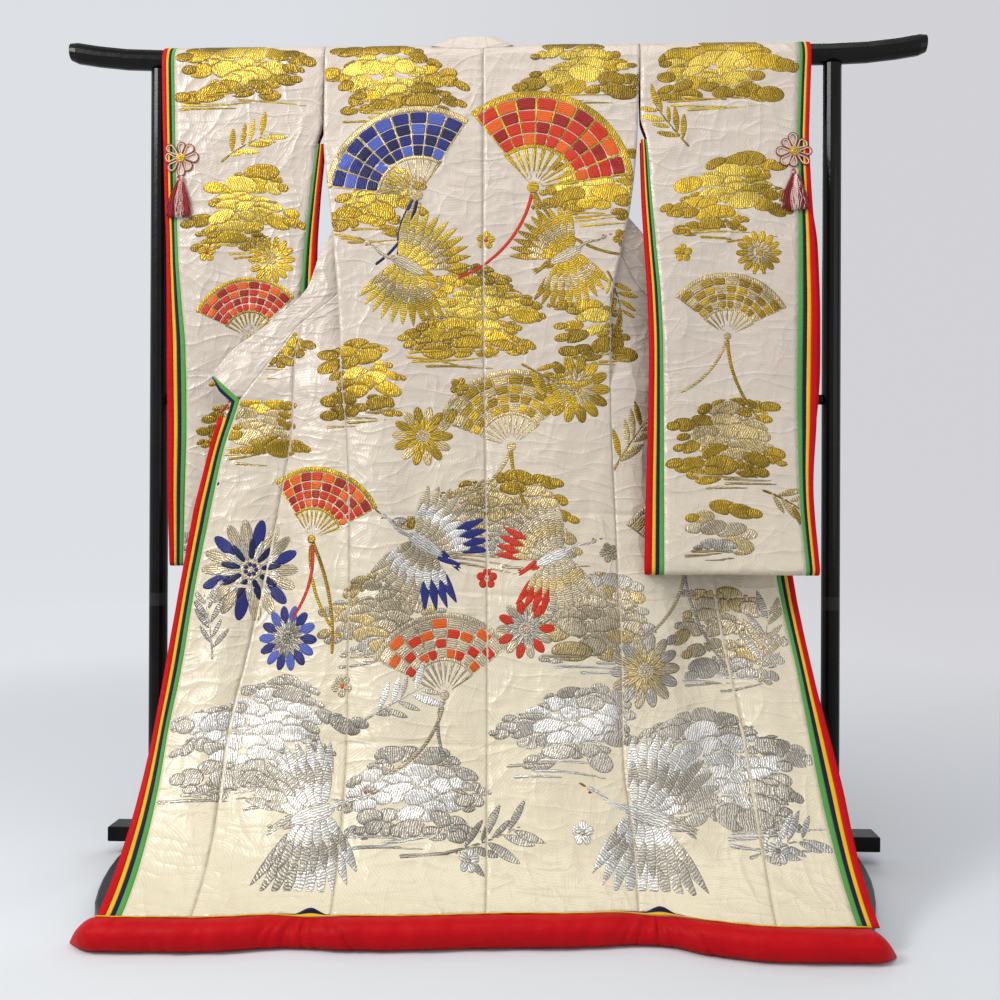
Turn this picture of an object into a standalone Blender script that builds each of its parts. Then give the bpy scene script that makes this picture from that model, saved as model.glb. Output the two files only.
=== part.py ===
"""Uchikake wedding kimono, spread open over a lacquered kimono stand.

The back faces -Y. The body cloth goes over the top bar, hangs down the far side and opens out
past the side seams, so that both fronts face -Y too. The hem trails forward onto the floor, on
its padded roll. Heights are above the floor. X is to the right, and the stand's own plane is
STAND_Y behind the origin, which is the middle of the whole object's footprint.
"""

import math

import bmesh
import bpy
from mathutils import Vector

# ---- driving dimensions, in metres -------------------------------------------------------
STAND_Y = 0.0590                # the stand's plane, from the middle of the footprint
WALL = 0.002                    # lined silk
SEAM = 0.0003                   # gap between pieces at a seam

BAR_HEIGHT = 1.662              # centre of the top bar
BAR_LENGTH = 1.78
BAR_HALF_HEIGHT = 0.0216
BAR_HALF_DEPTH = 0.0205
BAR_TIP_RISE = 0.020            # the bar's ends turn up
BAR_TIP_LENGTH = 0.20
POST_X = 0.70
POST_RADIUS = 0.019
MID_RAIL_HEIGHT = 0.95
MID_RAIL_RADIUS = 0.011
BASE_RAIL_LENGTH = 1.59
BASE_RAIL_DEPTH = 0.064
BASE_RAIL_LOW = 0.0273
BASE_RAIL_TOP = 0.058
FOOT_LENGTH = 0.88
FOOT_WIDTH = 0.068
FOOT_HEIGHT = 0.027
FOOT_X = 0.712                  # the foot's centre line where the rail crosses it
FOOT_BOW = 0.43                 # how much the foot curves in, times its distance squared

HANG_SCALE = 0.175              # the cloth hangs as a catenary of this scale
HANG_START = 0.5                # and starts at this steepness at the hem
HEM_HEIGHT = 0.045
HEM_Y = -0.470                  # from the stand's plane
SHOULDER_HEIGHT = 1.645         # where the cloth leaves the bar, at the front and the rear
SHOULDER_HALF = 0.030           # half the depth of the cloth's fold over the bar
SHOULDER_RISE = BAR_HEIGHT + BAR_HALF_HEIGHT + 4 * SEAM + WALL - SHOULDER_HEIGHT

NECK_LEFT = -0.126              # the neck opening's two ends on the bar
NECK_RIGHT = 0.044
COLLAR_STAND = 1.701            # top of the standing collar
COLLAR_WALL = 0.0028
SLIT_TOP = 1.473                # below it the sleeves hang free of the body
SIDE_SEAM_TOP = 1.235           # below it the back and the front are sewn together
PLEAT_TOP = 1.00                # above it the front folds back behind the back panel
PLEAT_RAMP = 0.03
PLEAT_LIFT = 0.007              # from the back's face to the front folded in behind it
PLEAT_HALF_GAP = 0.008          # half the distance between a pleat's two legs
PLEAT_TIGHT = 0.20              # share of that distance that it loses near the shoulder
PLEAT_TIGHT_FROM = 1.27
ROLL_LINE_HALF = 1.59           # above it a front ends halfway round its turn
ROLL_LINE_TOP = 1.63            # above it a front no longer turns
OKUMI_TOP = 1.100
ROLL_LINE_FOOT = 1.42           # above it a front's turn comes near its collar
ROLL_ROWS = (1.492, 1.520, 1.565, 1.610)  # a front's turn crosses a column of the collar at each
NOTCH_HEIGHT = 0.941            # where the collar ends on the front edge
COLLAR_TIP_HEIGHT = 0.993
ROW_STEP = 0.082                # distance between the cloth's rows, along the cloth

ROLL_BACK = 0.0230              # the roll's centre line in front of the cloth's hem
ROLL_HALF_DEPTH = 0.031
ROLL_HALF_HEIGHT = 0.0245
ROLL_POWER = 2.4
ROLL_LEFT = -0.677
ROLL_RIGHT = 0.682
ROLL_TAPER = 0.075

# Seam lines: where each one runs across, at each height, seen from the front.
SEAM_LINES = {
    "height":      (0.03, 0.13, 0.28, 0.45, 0.60, 0.75, 0.90, 1.00, 1.11, 1.24, 1.34, 1.48, 1.66),
    "left_okumi":  (-0.474, -0.478, -0.485, -0.461, -0.440, -0.418, -0.397, -0.397, -0.387, -0.380,
                    -0.38, -0.38, -0.38),
    "left_side":   (-0.245, -0.250, -0.254, -0.262, -0.267, -0.274, -0.286, -0.298, -0.305, -0.318,
                    -0.330, -0.346, -0.348),
    "centre":      (0.014, 0.010, 0.006, 0.003, 0.000, -0.004, -0.008, -0.011, -0.013, -0.015,
                    -0.016, -0.017, -0.018),
    "right_side":  (0.272, 0.270, 0.256, 0.257, 0.252, 0.247, 0.242, 0.241, 0.241, 0.262,
                    0.283, 0.297, 0.303),
    "right_okumi": (0.490, 0.494, 0.486, 0.461, 0.440, 0.418, 0.397, 0.395, 0.387, 0.380,
                    0.38, 0.38, 0.38),
}
# The fronts: white cloth's edge and the outer edge of its coloured bands, below the collar.
FRONT_EDGES = {
    "height":      (0.03, 0.13, 0.20, 0.28, 0.40, 0.56, 0.70, 0.83, 0.941),
    "left_cloth":  (-0.590, -0.595, -0.598, -0.600, -0.591, -0.580, -0.561, -0.539, -0.507),
    "left_outer":  (-0.632, -0.633, -0.632, -0.629, -0.623, -0.611, -0.595, -0.569, -0.540),
    "right_cloth": (0.622, 0.617, 0.612, 0.606, 0.595, 0.570, 0.552, 0.535, 0.507),
    "right_outer": (0.658, 0.655, 0.654, 0.645, 0.625, 0.602, 0.588, 0.566, 0.540),
}
# The collar's free edge above its lower end, and its width measured level.
COLLAR_LINE = {
    "height": (0.993, 1.046, 1.102, 1.175, 1.253, 1.35, 1.45, 1.55, 1.62, 1.66),
    "left":   (0.566, 0.526, 0.451, 0.375, 0.349, 0.290, 0.225, 0.155, 0.100, 0.070),
    "right":  (0.566, 0.526, 0.451, 0.370, 0.330, 0.255, 0.170, 0.090, 0.025, -0.012),
    "width":  (0.097, 0.096, 0.066, 0.072, 0.075, 0.072, 0.066, 0.060, 0.056, 0.056),
}
# How far the front folds in behind the back panel, and how far the wings hang behind its plane.
PLEAT_DEPTH = {
    "height": (1.00, 1.03, 1.11, 1.20, 1.30, 1.45, 1.55, 1.62, 1.66),
    "left":   (0.0, 0.022, 0.062, 0.110, 0.145, 0.1925, 0.219, 0.252, 0.278),
    "right":  (0.0, 0.022, 0.062, 0.110, 0.145, 0.2005, 0.235, 0.280, 0.315),
}
WING_BACK = {
    "height": (0.045, 0.28, 0.60, 0.90, 1.10, 1.20, 1.30),
    "left":   (0.0, 0.038, 0.050, 0.036, 0.012, 0.008, 0.0),
    "right":  (0.0, 0.045, 0.068, 0.060, 0.050, 0.036, 0.0),
}
WING_RAMP = 0.17                # from the side seam to where a wing is fully back
# How far the hem trails in front of HEM_Y, across.
HEM_TRAIL = {
    "across": (-0.68, -0.62, -0.465, -0.30, -0.20, 0.03, 0.17, 0.27, 0.32, 0.38, 0.50, 0.65, 0.69),
    "back":   (-0.010, -0.034, -0.031, -0.006, -0.012, 0.009, 0.018, 0.032, 0.026, -0.004, -0.029,
               -0.026, -0.006),
}
HEM_TRAIL_RISE = 0.11           # the trail fades out over this height

# The largest folds, each from one place at its foot to another at its head.
# foot_x, head_x, half_width, depth, foot, head
FOLDS = (
    (-0.250, -0.315, 0.030, -0.007, 0.04, 1.15),
    (-0.165, -0.225, 0.055, 0.010, 0.10, 1.20),
    (0.008, -0.013, 0.035, -0.005, 0.06, 1.30),
    (0.130, 0.120, 0.060, 0.010, 0.10, 1.10),
    (0.272, 0.245, 0.030, -0.008, 0.04, 1.20),
    (-0.370, -0.345, 0.040, 0.011, 0.06, 0.85),
    (-0.478, -0.400, 0.026, -0.008, 0.05, 0.98),
    (-0.545, -0.480, 0.030, 0.007, 0.08, 0.86),
    (0.370, 0.330, 0.040, 0.011, 0.06, 0.80),
    (0.492, 0.410, 0.028, -0.008, 0.05, 0.90),
    (0.560, 0.500, 0.030, 0.007, 0.08, 0.80),
)

# Sleeves: outer (wrist) edge and inner (body) edge, each with its cloth's edge and bands' edge.
SLEEVE_EDGES = {
    "height":       (0.60, 0.75, 0.90, 1.05, 1.15, 1.25, 1.36, 1.474, 1.52, 1.66),
    "left_wrist":   (-0.666, -0.671, -0.672, -0.674, -0.675, -0.676, -0.680, -0.683, -0.685, -0.688),
    "left_cloth":   (-0.637, -0.634, -0.631, -0.634, -0.643, -0.651, -0.655, -0.658, -0.659, -0.662),
    "left_inner":   (-0.356, -0.358, -0.360, -0.362, -0.364, -0.363, -0.357, -0.3486, -0.3486, -0.3486),
    "left_body":    (-0.392, -0.394, -0.396, -0.397, -0.394, -0.388, -0.376, -0.361, -0.3486, -0.3486),
    "right_wrist":  (0.633, 0.626, 0.638, 0.647, 0.650, 0.649, 0.645, 0.643, 0.645, 0.652),
    "right_cloth":  (0.607, 0.599, 0.600, 0.606, 0.611, 0.615, 0.618, 0.619, 0.621, 0.628),
    "right_inner":  (0.302, 0.307, 0.313, 0.317, 0.315, 0.310, 0.305, 0.3036, 0.3036, 0.3036),
    "right_body":   (0.338, 0.340, 0.342, 0.343, 0.340, 0.332, 0.324, 0.316, 0.3036, 0.3036),
}
# Sleeve depths: front and rear layer, behind (+) or in front (-) of the stand's plane.
SLEEVE_DEPTHS = {
    "height":      (0.60, 0.90, 1.10, 1.30, 1.474, 1.55, 1.645),
    "left_front":  (-0.034, -0.034, -0.034, -0.033, -0.0325, -0.031, -0.030),
    "left_rear":   (-0.0175, -0.0175, -0.0170, -0.0165, -0.0125, 0.005, 0.030),
    "right_front": (-0.197, -0.141, -0.1050, -0.074, -0.046, -0.0375, -0.030),
    "right_rear":  (-0.173, -0.119, -0.0830, -0.051, -0.0185, 0.003, 0.030),
}
# The four linings that show as bands beyond an edge, as shares of the bands' whole width.
# name, from, to, wall
BANDS = (
    ("green", 0.00, 0.26, 0.0020),
    ("navy", 0.26, 0.46, 0.0020),
    ("yellow", 0.46, 0.65, 0.0022),
    ("red", 0.65, 1.00, 0.0025),
)
TURNED_BANDS = ("green", "navy")  # these turn the corner onto the collar's end

KNOT_LOOPS = 8
KNOT_RADIUS = 0.036
KNOT_CORD = 0.0017
KNOT_PETAL = 0.00795            # radius of a petal's round end
KNOT_VALLEY = 0.0115            # where the cord turns back between two petals
KNOT_PETAL_STEPS = 7
KNOT_VALLEY_STEPS = 4
KNOT_CLEARANCE = {"left": 0.0002, "right": 0.0006}  # from the cloth's own curve
KNOT_HEIGHT = 1.447
KNOT_X = (("left", -0.646), ("right", 0.612))
TASSEL_LENGTH = 0.088
TASSEL_STRANDS = 4              # strands along each side of the tassel's square head
TASSEL_HALF = 0.0085
TASSEL_DEPTH = 0.0055
TASSEL_HEAD = 0.012

SIGN = {"left": -1.0, "right": 1.0}
LEG_STEPS = 8                   # points on a front's hidden leg, and on the turn after it
TURN_STEPS = 7

# ---- materials ---------------------------------------------------------------------------
FINISHES = {
    "silk_ivory": ((0.86, 0.80, 0.70), 0.42, 0.0),
    "silk_red": ((0.62, 0.02, 0.02), 0.55, 0.0),
    "silk_yellow": ((0.85, 0.58, 0.05), 0.55, 0.0),
    "silk_navy": ((0.02, 0.02, 0.10), 0.55, 0.0),
    "silk_green": ((0.12, 0.42, 0.10), 0.55, 0.0),
    "cord_pink": ((0.86, 0.66, 0.60), 0.6, 0.0),
    "cord_gold": ((0.78, 0.56, 0.18), 0.35, 0.8),
    "lacquer_black": ((0.012, 0.012, 0.012), 0.25, 0.0),
}


def finish(slot):
    """A material with the slot's colour, roughness and metallic value."""
    found = bpy.data.materials.get(slot)
    if found:
        return found
    colour, roughness, metallic = FINISHES[slot]
    material = bpy.data.materials.new(slot)
    material.use_nodes = True
    shader = material.node_tree.nodes["Principled BSDF"]
    shader.inputs["Base Color"].default_value = (*colour, 1.0)
    shader.inputs["Roughness"].default_value = roughness
    shader.inputs["Metallic"].default_value = metallic
    return material


def make_object(name, slot, points, faces):
    """One solid, moved from the stand's plane to the object's own frame, its faces turned out."""
    mesh = bpy.data.meshes.new(name)
    mesh.from_pydata([(p[0], p[1] + STAND_Y, p[2]) for p in points], [], faces)
    work = bmesh.new()
    work.from_mesh(mesh)
    bmesh.ops.recalc_face_normals(work, faces=work.faces)
    work.to_mesh(mesh)
    work.free()
    mesh.materials.append(finish(slot))
    mesh.shade_smooth()
    mesh.set_sharp_from_angle(angle=math.radians(45))
    thing = bpy.data.objects.new(name, mesh)
    bpy.context.scene.collection.objects.link(thing)
    return thing


# ---- reading the tables ------------------------------------------------------------------
def smooth(t):
    t = min(max(t, 0.0), 1.0)
    return t * t * (3.0 - 2.0 * t)


def read(table, column, at, key="height"):
    """The column's value at a height (or at another key), on a smooth curve through the table."""
    keys = table[key]
    values = table[column]
    at = min(max(at, keys[0]), keys[-1])
    i = max(k for k in range(len(keys) - 1) if keys[k] <= at)
    step = keys[i + 1] - keys[i]
    t = (at - keys[i]) / step
    flat = (values[i + 1] - values[i]) / step
    before = (values[i] - values[i - 1]) / (keys[i] - keys[i - 1]) if i else flat
    last = i + 2 == len(keys)
    after = flat if last else (values[i + 2] - values[i + 1]) / (keys[i + 2] - keys[i + 1])
    start = between(before, flat) * step
    end = between(flat, after) * step
    rise = values[i + 1] - values[i]
    return values[i] + t * (start + t * (3 * rise - 2 * start - end + t * (start + end - 2 * rise)))


def between(a, b):
    """A slope that lets the curve pass a point without overshooting."""
    return 0.0 if a * b <= 0 else 2.0 * a * b / (a + b)


# ---- the hanging cloth -------------------------------------------------------------------
def steepness(height):
    rise = max(height - HEM_HEIGHT, -0.02)
    return math.acosh(math.cosh(HANG_START) + rise / HANG_SCALE)


def height_along(distance):
    """The height at a distance up the cloth from its hem."""
    t = math.asinh(distance / HANG_SCALE + math.sinh(HANG_START))
    return HEM_HEIGHT + HANG_SCALE * (math.cosh(t) - math.cosh(HANG_START))


def fold_depth(x, height):
    total = 0.0
    for foot_x, head_x, half_width, depth, foot, head in FOLDS:
        up = (height - foot) / (head - foot)
        strength = smooth(up / 0.18) * smooth((1.0 - up) / 0.35)
        offset = (x - foot_x - (head_x - foot_x) * up) / half_width
        total += depth * strength * math.exp(-offset * offset)
    return total


def face(x, height):
    """The outer face of the back and the opened fronts, below the shoulders."""
    t = steepness(height)
    y = HEM_Y + HANG_SCALE * (t - HANG_START)
    y += read(HEM_TRAIL, "back", x, "across") * math.exp(-(height - HEM_HEIGHT) / HEM_TRAIL_RISE)
    side = "left" if x < 0 else "right"
    past = abs(x) - abs(read(SEAM_LINES, side + "_side", height))
    y += read(WING_BACK, side, height) * smooth(past / WING_RAMP)
    out = fold_depth(x, height)
    return Vector((x, y - out * math.tanh(t), height + out / math.cosh(t)))


def face_normal(x, height, reach=0.004):
    across = face(x + reach, height) - face(x - reach, height)
    upward = face(x, height + reach) - face(x, height - reach)
    return across.cross(upward).normalized()


def over_bar(x, angle):
    """A point on the cloth's fold over the bar. Angle 0 is its front foot and pi its rear foot."""
    return Vector((x, -SHOULDER_HALF * math.cos(angle), SHOULDER_HEIGHT + SHOULDER_RISE * math.sin(angle)))


def over_bar_normal(angle):
    return Vector((0, -SHOULDER_RISE * math.cos(angle), SHOULDER_HALF * math.sin(angle))).normalized()


# ---- a front, from the side edge to the collar's free edge ---------------------------------
def rear_depth(height):
    """The far side's depth: on the bar's rear at the shoulder, close behind the back lower down."""
    low = face(0.0, SIDE_SEAM_TOP).y + 2 * WALL + 3 * SEAM
    up = (height - SIDE_SEAM_TOP) / (SHOULDER_HEIGHT - SIDE_SEAM_TOP)
    return low + (SHOULDER_HALF - low) * up


def lift_at(height):
    """How far the front lies behind the back's own face where it is folded in behind it."""
    return smooth((height - PLEAT_TOP + PLEAT_RAMP) / PLEAT_RAMP) * PLEAT_LIFT


def front_edge(side, height):
    """Where the front ends on one level: its collar's free edge, its end, or the okumi's edge."""
    if height > COLLAR_TIP_HEIGHT:
        return SIGN[side] * read(COLLAR_LINE, side, height)
    if height > NOTCH_HEIGHT:
        notch = read(FRONT_EDGES, side + "_cloth", NOTCH_HEIGHT)
        tip = SIGN[side] * read(COLLAR_LINE, side, COLLAR_TIP_HEIGHT)
        return notch + (tip - notch) * (height - NOTCH_HEIGHT) / (COLLAR_TIP_HEIGHT - NOTCH_HEIGHT)
    return read(FRONT_EDGES, side + "_cloth", height)


def front_row(side, height):
    """One level of a front: points from its side edge to its front edge, and their distances.

    Above PLEAT_TOP the front runs inward behind the back panel, turns over and comes out again.
    The last value is the pair of distances between which it turns.
    """
    sign = SIGN[side]
    seam = read(SEAM_LINES, side + "_side", height)
    edge = front_edge(side, height)
    lift = lift_at(height)
    depth = read(PLEAT_DEPTH, side, height) if height > PLEAT_TOP else 0.0
    gap = PLEAT_HALF_GAP * smooth(depth / 0.05) * smooth((SHOULDER_HEIGHT - height) / 0.06)
    gap *= 1 - PLEAT_TIGHT * smooth((height - PLEAT_TIGHT_FROM) / 0.10)
    turn = seam - sign * depth
    if height > ROLL_LINE_TOP:
        turn, gap = edge, 0.0
    elif height > ROLL_LINE_HALF:
        turn = edge + sign * gap

    def leg(x):
        near = face(x, height)
        y = near.y + lift
        return Vector((x, max(y, rear_depth(height)) if height > SIDE_SEAM_TOP else y, near.z))

    points = [leg(seam + sign * SEAM / 2 + (turn - seam) * k / LEG_STEPS) for k in range(LEG_STEPS)]
    foot = leg(turn)
    for k in range(TURN_STEPS):
        angle = math.pi * k / (TURN_STEPS - 1)
        points.append(foot + gap * Vector((-sign * math.sin(angle), 1 - math.cos(angle), 0)))
    if ROLL_LINE_HALF < height < ROLL_LINE_TOP:
        points = points[:LEG_STEPS + TURN_STEPS // 2 + 1]
    out_steps = 5 * LEG_STEPS if height < ROLL_LINE_HALF else 0
    for k in range(1, out_steps + 1):
        points.append(leg(turn + (edge - turn) * k / out_steps) + Vector((0, 2 * gap, 0)))
    row = [points[0]]
    distances = [0.0]
    marks = []
    for n, point in enumerate(points):
        step = (point - row[-1]).length
        if step > 1e-6:
            row.append(point)
            distances.append(distances[-1] + step)
        if n in (LEG_STEPS, LEG_STEPS + TURN_STEPS - 1):
            marks.append(distances[-1])
    return row, distances, (marks * 2)[:2]


ROW_CACHE = {}


def on_front(side, height, inside):
    """The point at a distance inside the front edge, measured along its level row."""
    key = (side, round(height, 6))
    if key not in ROW_CACHE:
        ROW_CACHE[key] = front_row(side, height)
    points, lengths, _ = ROW_CACHE[key]
    along = lengths[-1] - inside
    if along >= lengths[-1]:
        direction = (points[-1] - points[-2]).normalized()
        flat = Vector((direction.x, direction.y, 0)).normalized()
        return points[-1] + flat * (along - lengths[-1])
    i = max(k for k in range(len(lengths) - 1) if lengths[k] <= max(along, 0.0))
    share = (along - lengths[i]) / (lengths[i + 1] - lengths[i])
    return points[i].lerp(points[i + 1], share)


def front_length(side, height):
    on_front(side, height, 0.0)
    return ROW_CACHE[(side, round(height, 6))][1][-1]


def turn_insides(side, height):
    """Distances inside the front edge of a turn's outer end, its middle and its inner end."""
    full = front_length(side, height)
    start, end = ROW_CACHE[(side, round(height, 6))][2]
    return full - end, full - (start + end) / 2, full - start


def front_normal(side, height, inside, reach=0.004):
    """The outward normal, from level rows just above and below."""
    full = front_length(side, height)
    low = min(inside + reach, full)
    outward = on_front(side, height, low - 2 * reach) - on_front(side, height, low)
    upward = on_front(side, height + reach, inside) - on_front(side, height - reach, inside)
    return (outward.cross(upward) * SIGN[side]).normalized()


def level_rows():
    """Heights of the cloth's rows, even along the cloth, with the ones that its corners need."""
    top = HANG_SCALE * (math.sinh(steepness(SHOULDER_HEIGHT)) - math.sinh(HANG_START))
    count = round(top / ROW_STEP)
    even = [height_along(top * k / count) for k in range(count + 1)]
    corners = [NOTCH_HEIGHT, COLLAR_TIP_HEIGHT, PLEAT_TOP + 0.04, OKUMI_TOP, SIDE_SEAM_TOP, SLIT_TOP,
               *ROLL_ROWS]
    near = 0.025
    rows = [z for z in even if all(abs(z - c) > near for c in corners)]
    return sorted(rows + corners)


LEVELS = level_rows()


def shell(name, slot, rows, wall, closed=False, mask=None):
    """A wall from rows of (outer point, outward normal), with the given thickness.

    Each cell is split along the diagonal whose ends face more alike, or along the shorter one.
    closed joins the last row to the first. mask(i, j) leaves a cell out.
    """
    count = len(rows[0])
    outer = [point for row in rows for point, _ in row]
    facing = [normal for row in rows for _, normal in row]
    inner = [point - normal * wall for row in rows for point, normal in row]
    size = len(outer)
    cells = []
    last = len(rows) if closed else len(rows) - 1
    for i in range(last):
        below = i * count
        above = ((i + 1) % len(rows)) * count
        for j in range(count - 1):
            if mask is None or mask(i, j):
                a, b, c, d = below + j, below + j + 1, above + j + 1, above + j
                rising = facing[a].dot(facing[c]) - (outer[a] - outer[c]).length
                falling = facing[b].dot(facing[d]) - (outer[b] - outer[d]).length
                if rising > falling:
                    cells += [(a, b, c), (a, c, d)]
                else:
                    cells += [(a, b, d), (b, c, d)]
    edges = {}
    for cell in cells:
        for a, b in zip(cell, cell[1:] + cell[:1]):
            edges[(a, b)] = True
    faces = list(cells)
    faces += [tuple(k + size for k in reversed(cell)) for cell in cells]
    faces += [(b, a, a + size, b + size) for a, b in edges if (b, a) not in edges]
    used = sorted({k for f in faces for k in f})
    renumber = {k: n for n, k in enumerate(used)}
    everything = outer + inner
    points = [everything[k] for k in used]
    return make_object(name, slot, points, [tuple(renumber[k] for k in f) for f in faces])


# ---- body --------------------------------------------------------------------------------
OKUMI_COLUMNS = 4
OKUMI_POINT = 0.002             # width of the okumi at its top
BODY_COLUMNS = 9                # columns of a front's body cloth, from the collar to the side
COLLAR_COLUMNS = 4              # further columns of the back, where the front has its collar
ARC_ANGLES = (0.72, 1.12, 1.48, 1.84, 2.20, 2.62)  # rows over the bar; the back of the neck is at the first
NECK = {"left": NECK_LEFT, "right": NECK_RIGHT}
TURN_COLUMN = 5                 # the column that runs up the middle of a front's turn
# Shares across a front for the body's columns just below the pleat, from the collar to the side.
BELOW_SHARES = (0.0, 0.19, 0.38, 0.57, 0.76, 0.94, 0.955, 0.97, 0.985, 1.0)


def collar_width(side, height):
    """The collar's width on one level; it runs out at the notch below its tip."""
    if height > COLLAR_TIP_HEIGHT:
        return read(COLLAR_LINE, "width", height)
    share = (height - NOTCH_HEIGHT) / (COLLAR_TIP_HEIGHT - NOTCH_HEIGHT)
    return read(COLLAR_LINE, "width", COLLAR_TIP_HEIGHT) * max(share, 0.0)


def okumi_inset(side, height):
    """Distance from the front edge to the seam between the okumi and the body cloth."""
    okumi = read(SEAM_LINES, side + "_okumi", height)
    return abs(on_front(side, height, 0.0).x - okumi)


def body_inset(side, height):
    """Distance from the front edge to the body cloth's own edge."""
    if height > OKUMI_TOP:
        return collar_width(side, height) + (5 * SEAM if height > ROLL_LINE_FOOT else 0.0)
    return max(okumi_inset(side, height), collar_width(side, height) + OKUMI_POINT)


def front_point(side, height, inside):
    """A point on a front and its outward normal. Below the pleat it is the back's own face."""
    point = on_front(side, height, inside)
    if height < PLEAT_TOP - PLEAT_RAMP:
        return point, face_normal(point.x, height)
    return point, front_normal(side, height, inside)


def body_insides(side, height):
    """Where the body cloth's columns stand on a front, as distances inside the front edge."""
    seam = body_inset(side, height) + SEAM / 2
    full = front_length(side, height)
    even = [k / BODY_COLUMNS for k in range(BODY_COLUMNS + 1)]
    if height < PLEAT_TOP:
        near = smooth((height - 0.70) / (PLEAT_TOP - 0.70))
        return [seam + (full - seam) * (share + (fold - share) * near)
                for share, fold in zip(even, BELOW_SHARES)]
    outer, middle, inner = turn_insides(side, height)
    after = [inner + (full - inner) * k / 3 for k in range(4)]
    if height > SLIT_TOP:
        inner = max(inner, seam + 0.006)
        return [seam] * 6 + [inner + (full - inner) * k / 3 for k in range(4)]
    if seam < outer - 0.008:
        return [seam + (outer - seam) * k / 4 for k in range(4)] + [outer, middle] + after
    return [seam + (middle - seam) * k / 5 for k in range(6)] + after


def body(side):
    """Back and front of one half in one cloth, folded over the bar with no shoulder seam."""
    sign = SIGN[side]
    count = COLLAR_COLUMNS + BODY_COLUMNS + 1
    neck = COLLAR_COLUMNS + TURN_COLUMN

    def across(height, j):
        """Even columns low down, and one of them at the neck's end by the shoulder."""
        centre = read(SEAM_LINES, "centre", height) + sign * SEAM / 2
        armhole = read(SEAM_LINES, side + "_side", height) - sign * SEAM / 2
        to_neck = (NECK[side] - centre) / (armhole - centre)
        even = j / (count - 1)
        if j <= neck:
            share = to_neck * j / neck
        else:
            share = to_neck + (1 - to_neck) * (j - neck) / (count - 1 - neck)
        share = even + (share - even) * smooth((height - 1.2) / 0.4)
        return centre + (armhole - centre) * share

    rows = []
    for height in LEVELS:
        places = [across(height, j) for j in range(count)]
        rows.append([(face(x, height), face_normal(x, height)) for x in places])
    for angle in ARC_ANGLES:
        places = [across(SHOULDER_HEIGHT, j) for j in range(count)]
        places[neck] += sign * 2 * SEAM
        rows.append([(over_bar(x, angle), over_bar_normal(angle)) for x in places])
    for height in reversed(LEVELS):
        insides = body_insides(side, height)
        insides = [insides[0]] * COLLAR_COLUMNS + insides
        rows.append([front_point(side, height, inside) for inside in insides])
    neck_row = len(LEVELS)
    heights = list(LEVELS) + [SHOULDER_HEIGHT] * len(ARC_ANGLES) + list(reversed(LEVELS))

    def mask(i, j):
        """Leave out the neck, a turn's first few millimetres, and a front past its roll line."""
        if i < neck_row:
            return True
        high = heights[i]
        low = heights[min(i + 1, len(heights) - 1)]
        if low < PLEAT_TOP < high and j >= neck:
            return False
        return j >= (neck if low >= SLIT_TOP else COLLAR_COLUMNS)

    return shell("body_" + side, "silk_ivory", rows, WALL, mask=mask)


def okumi(side):
    """The gore sewn to the front's edge, from a point under the collar to the hem."""
    rows = []
    for height in [z for z in LEVELS if z <= OKUMI_TOP]:
        seam = body_inset(side, height) - SEAM / 2
        edge = collar_width(side, height) + (SEAM / 2 if height > NOTCH_HEIGHT else 0.0)
        insides = [seam + (edge - seam) * j / OKUMI_COLUMNS for j in range(OKUMI_COLUMNS + 1)]
        rows.append([front_point(side, height, inside) for inside in insides])
    return shell("okumi_" + side, "silk_ivory", rows, WALL)


# The collar over one shoulder. Its seam and its free edge lie in from the neck's end by:
# angle over the bar, seam_in, edge_in, edge_y, edge_height
COLLAR_TURN = (
    (2.75, 0.000, 0.046, 0.0300, 1.668),
    (2.30, 0.000, 0.041, 0.0220, 1.688),
    (1.93, 0.000, 0.037, 0.0120, 1.697),
    (1.57, 0.000, 0.034, 0.0040, 1.7005),
    (1.15, 0.004, 0.036, -0.0050, 1.7010),
    (0.86, 0.017, 0.045, -0.0110, 1.7013),
)
NECK_STATIONS = 3               # along the back of the neck, between the two turns
COLLAR_TURN_STEP = 0.0105       # between the collar's columns next to a front's turn
NECK_TURN_IN = 0.060            # where the back of the neck starts, from each end of the opening


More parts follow.
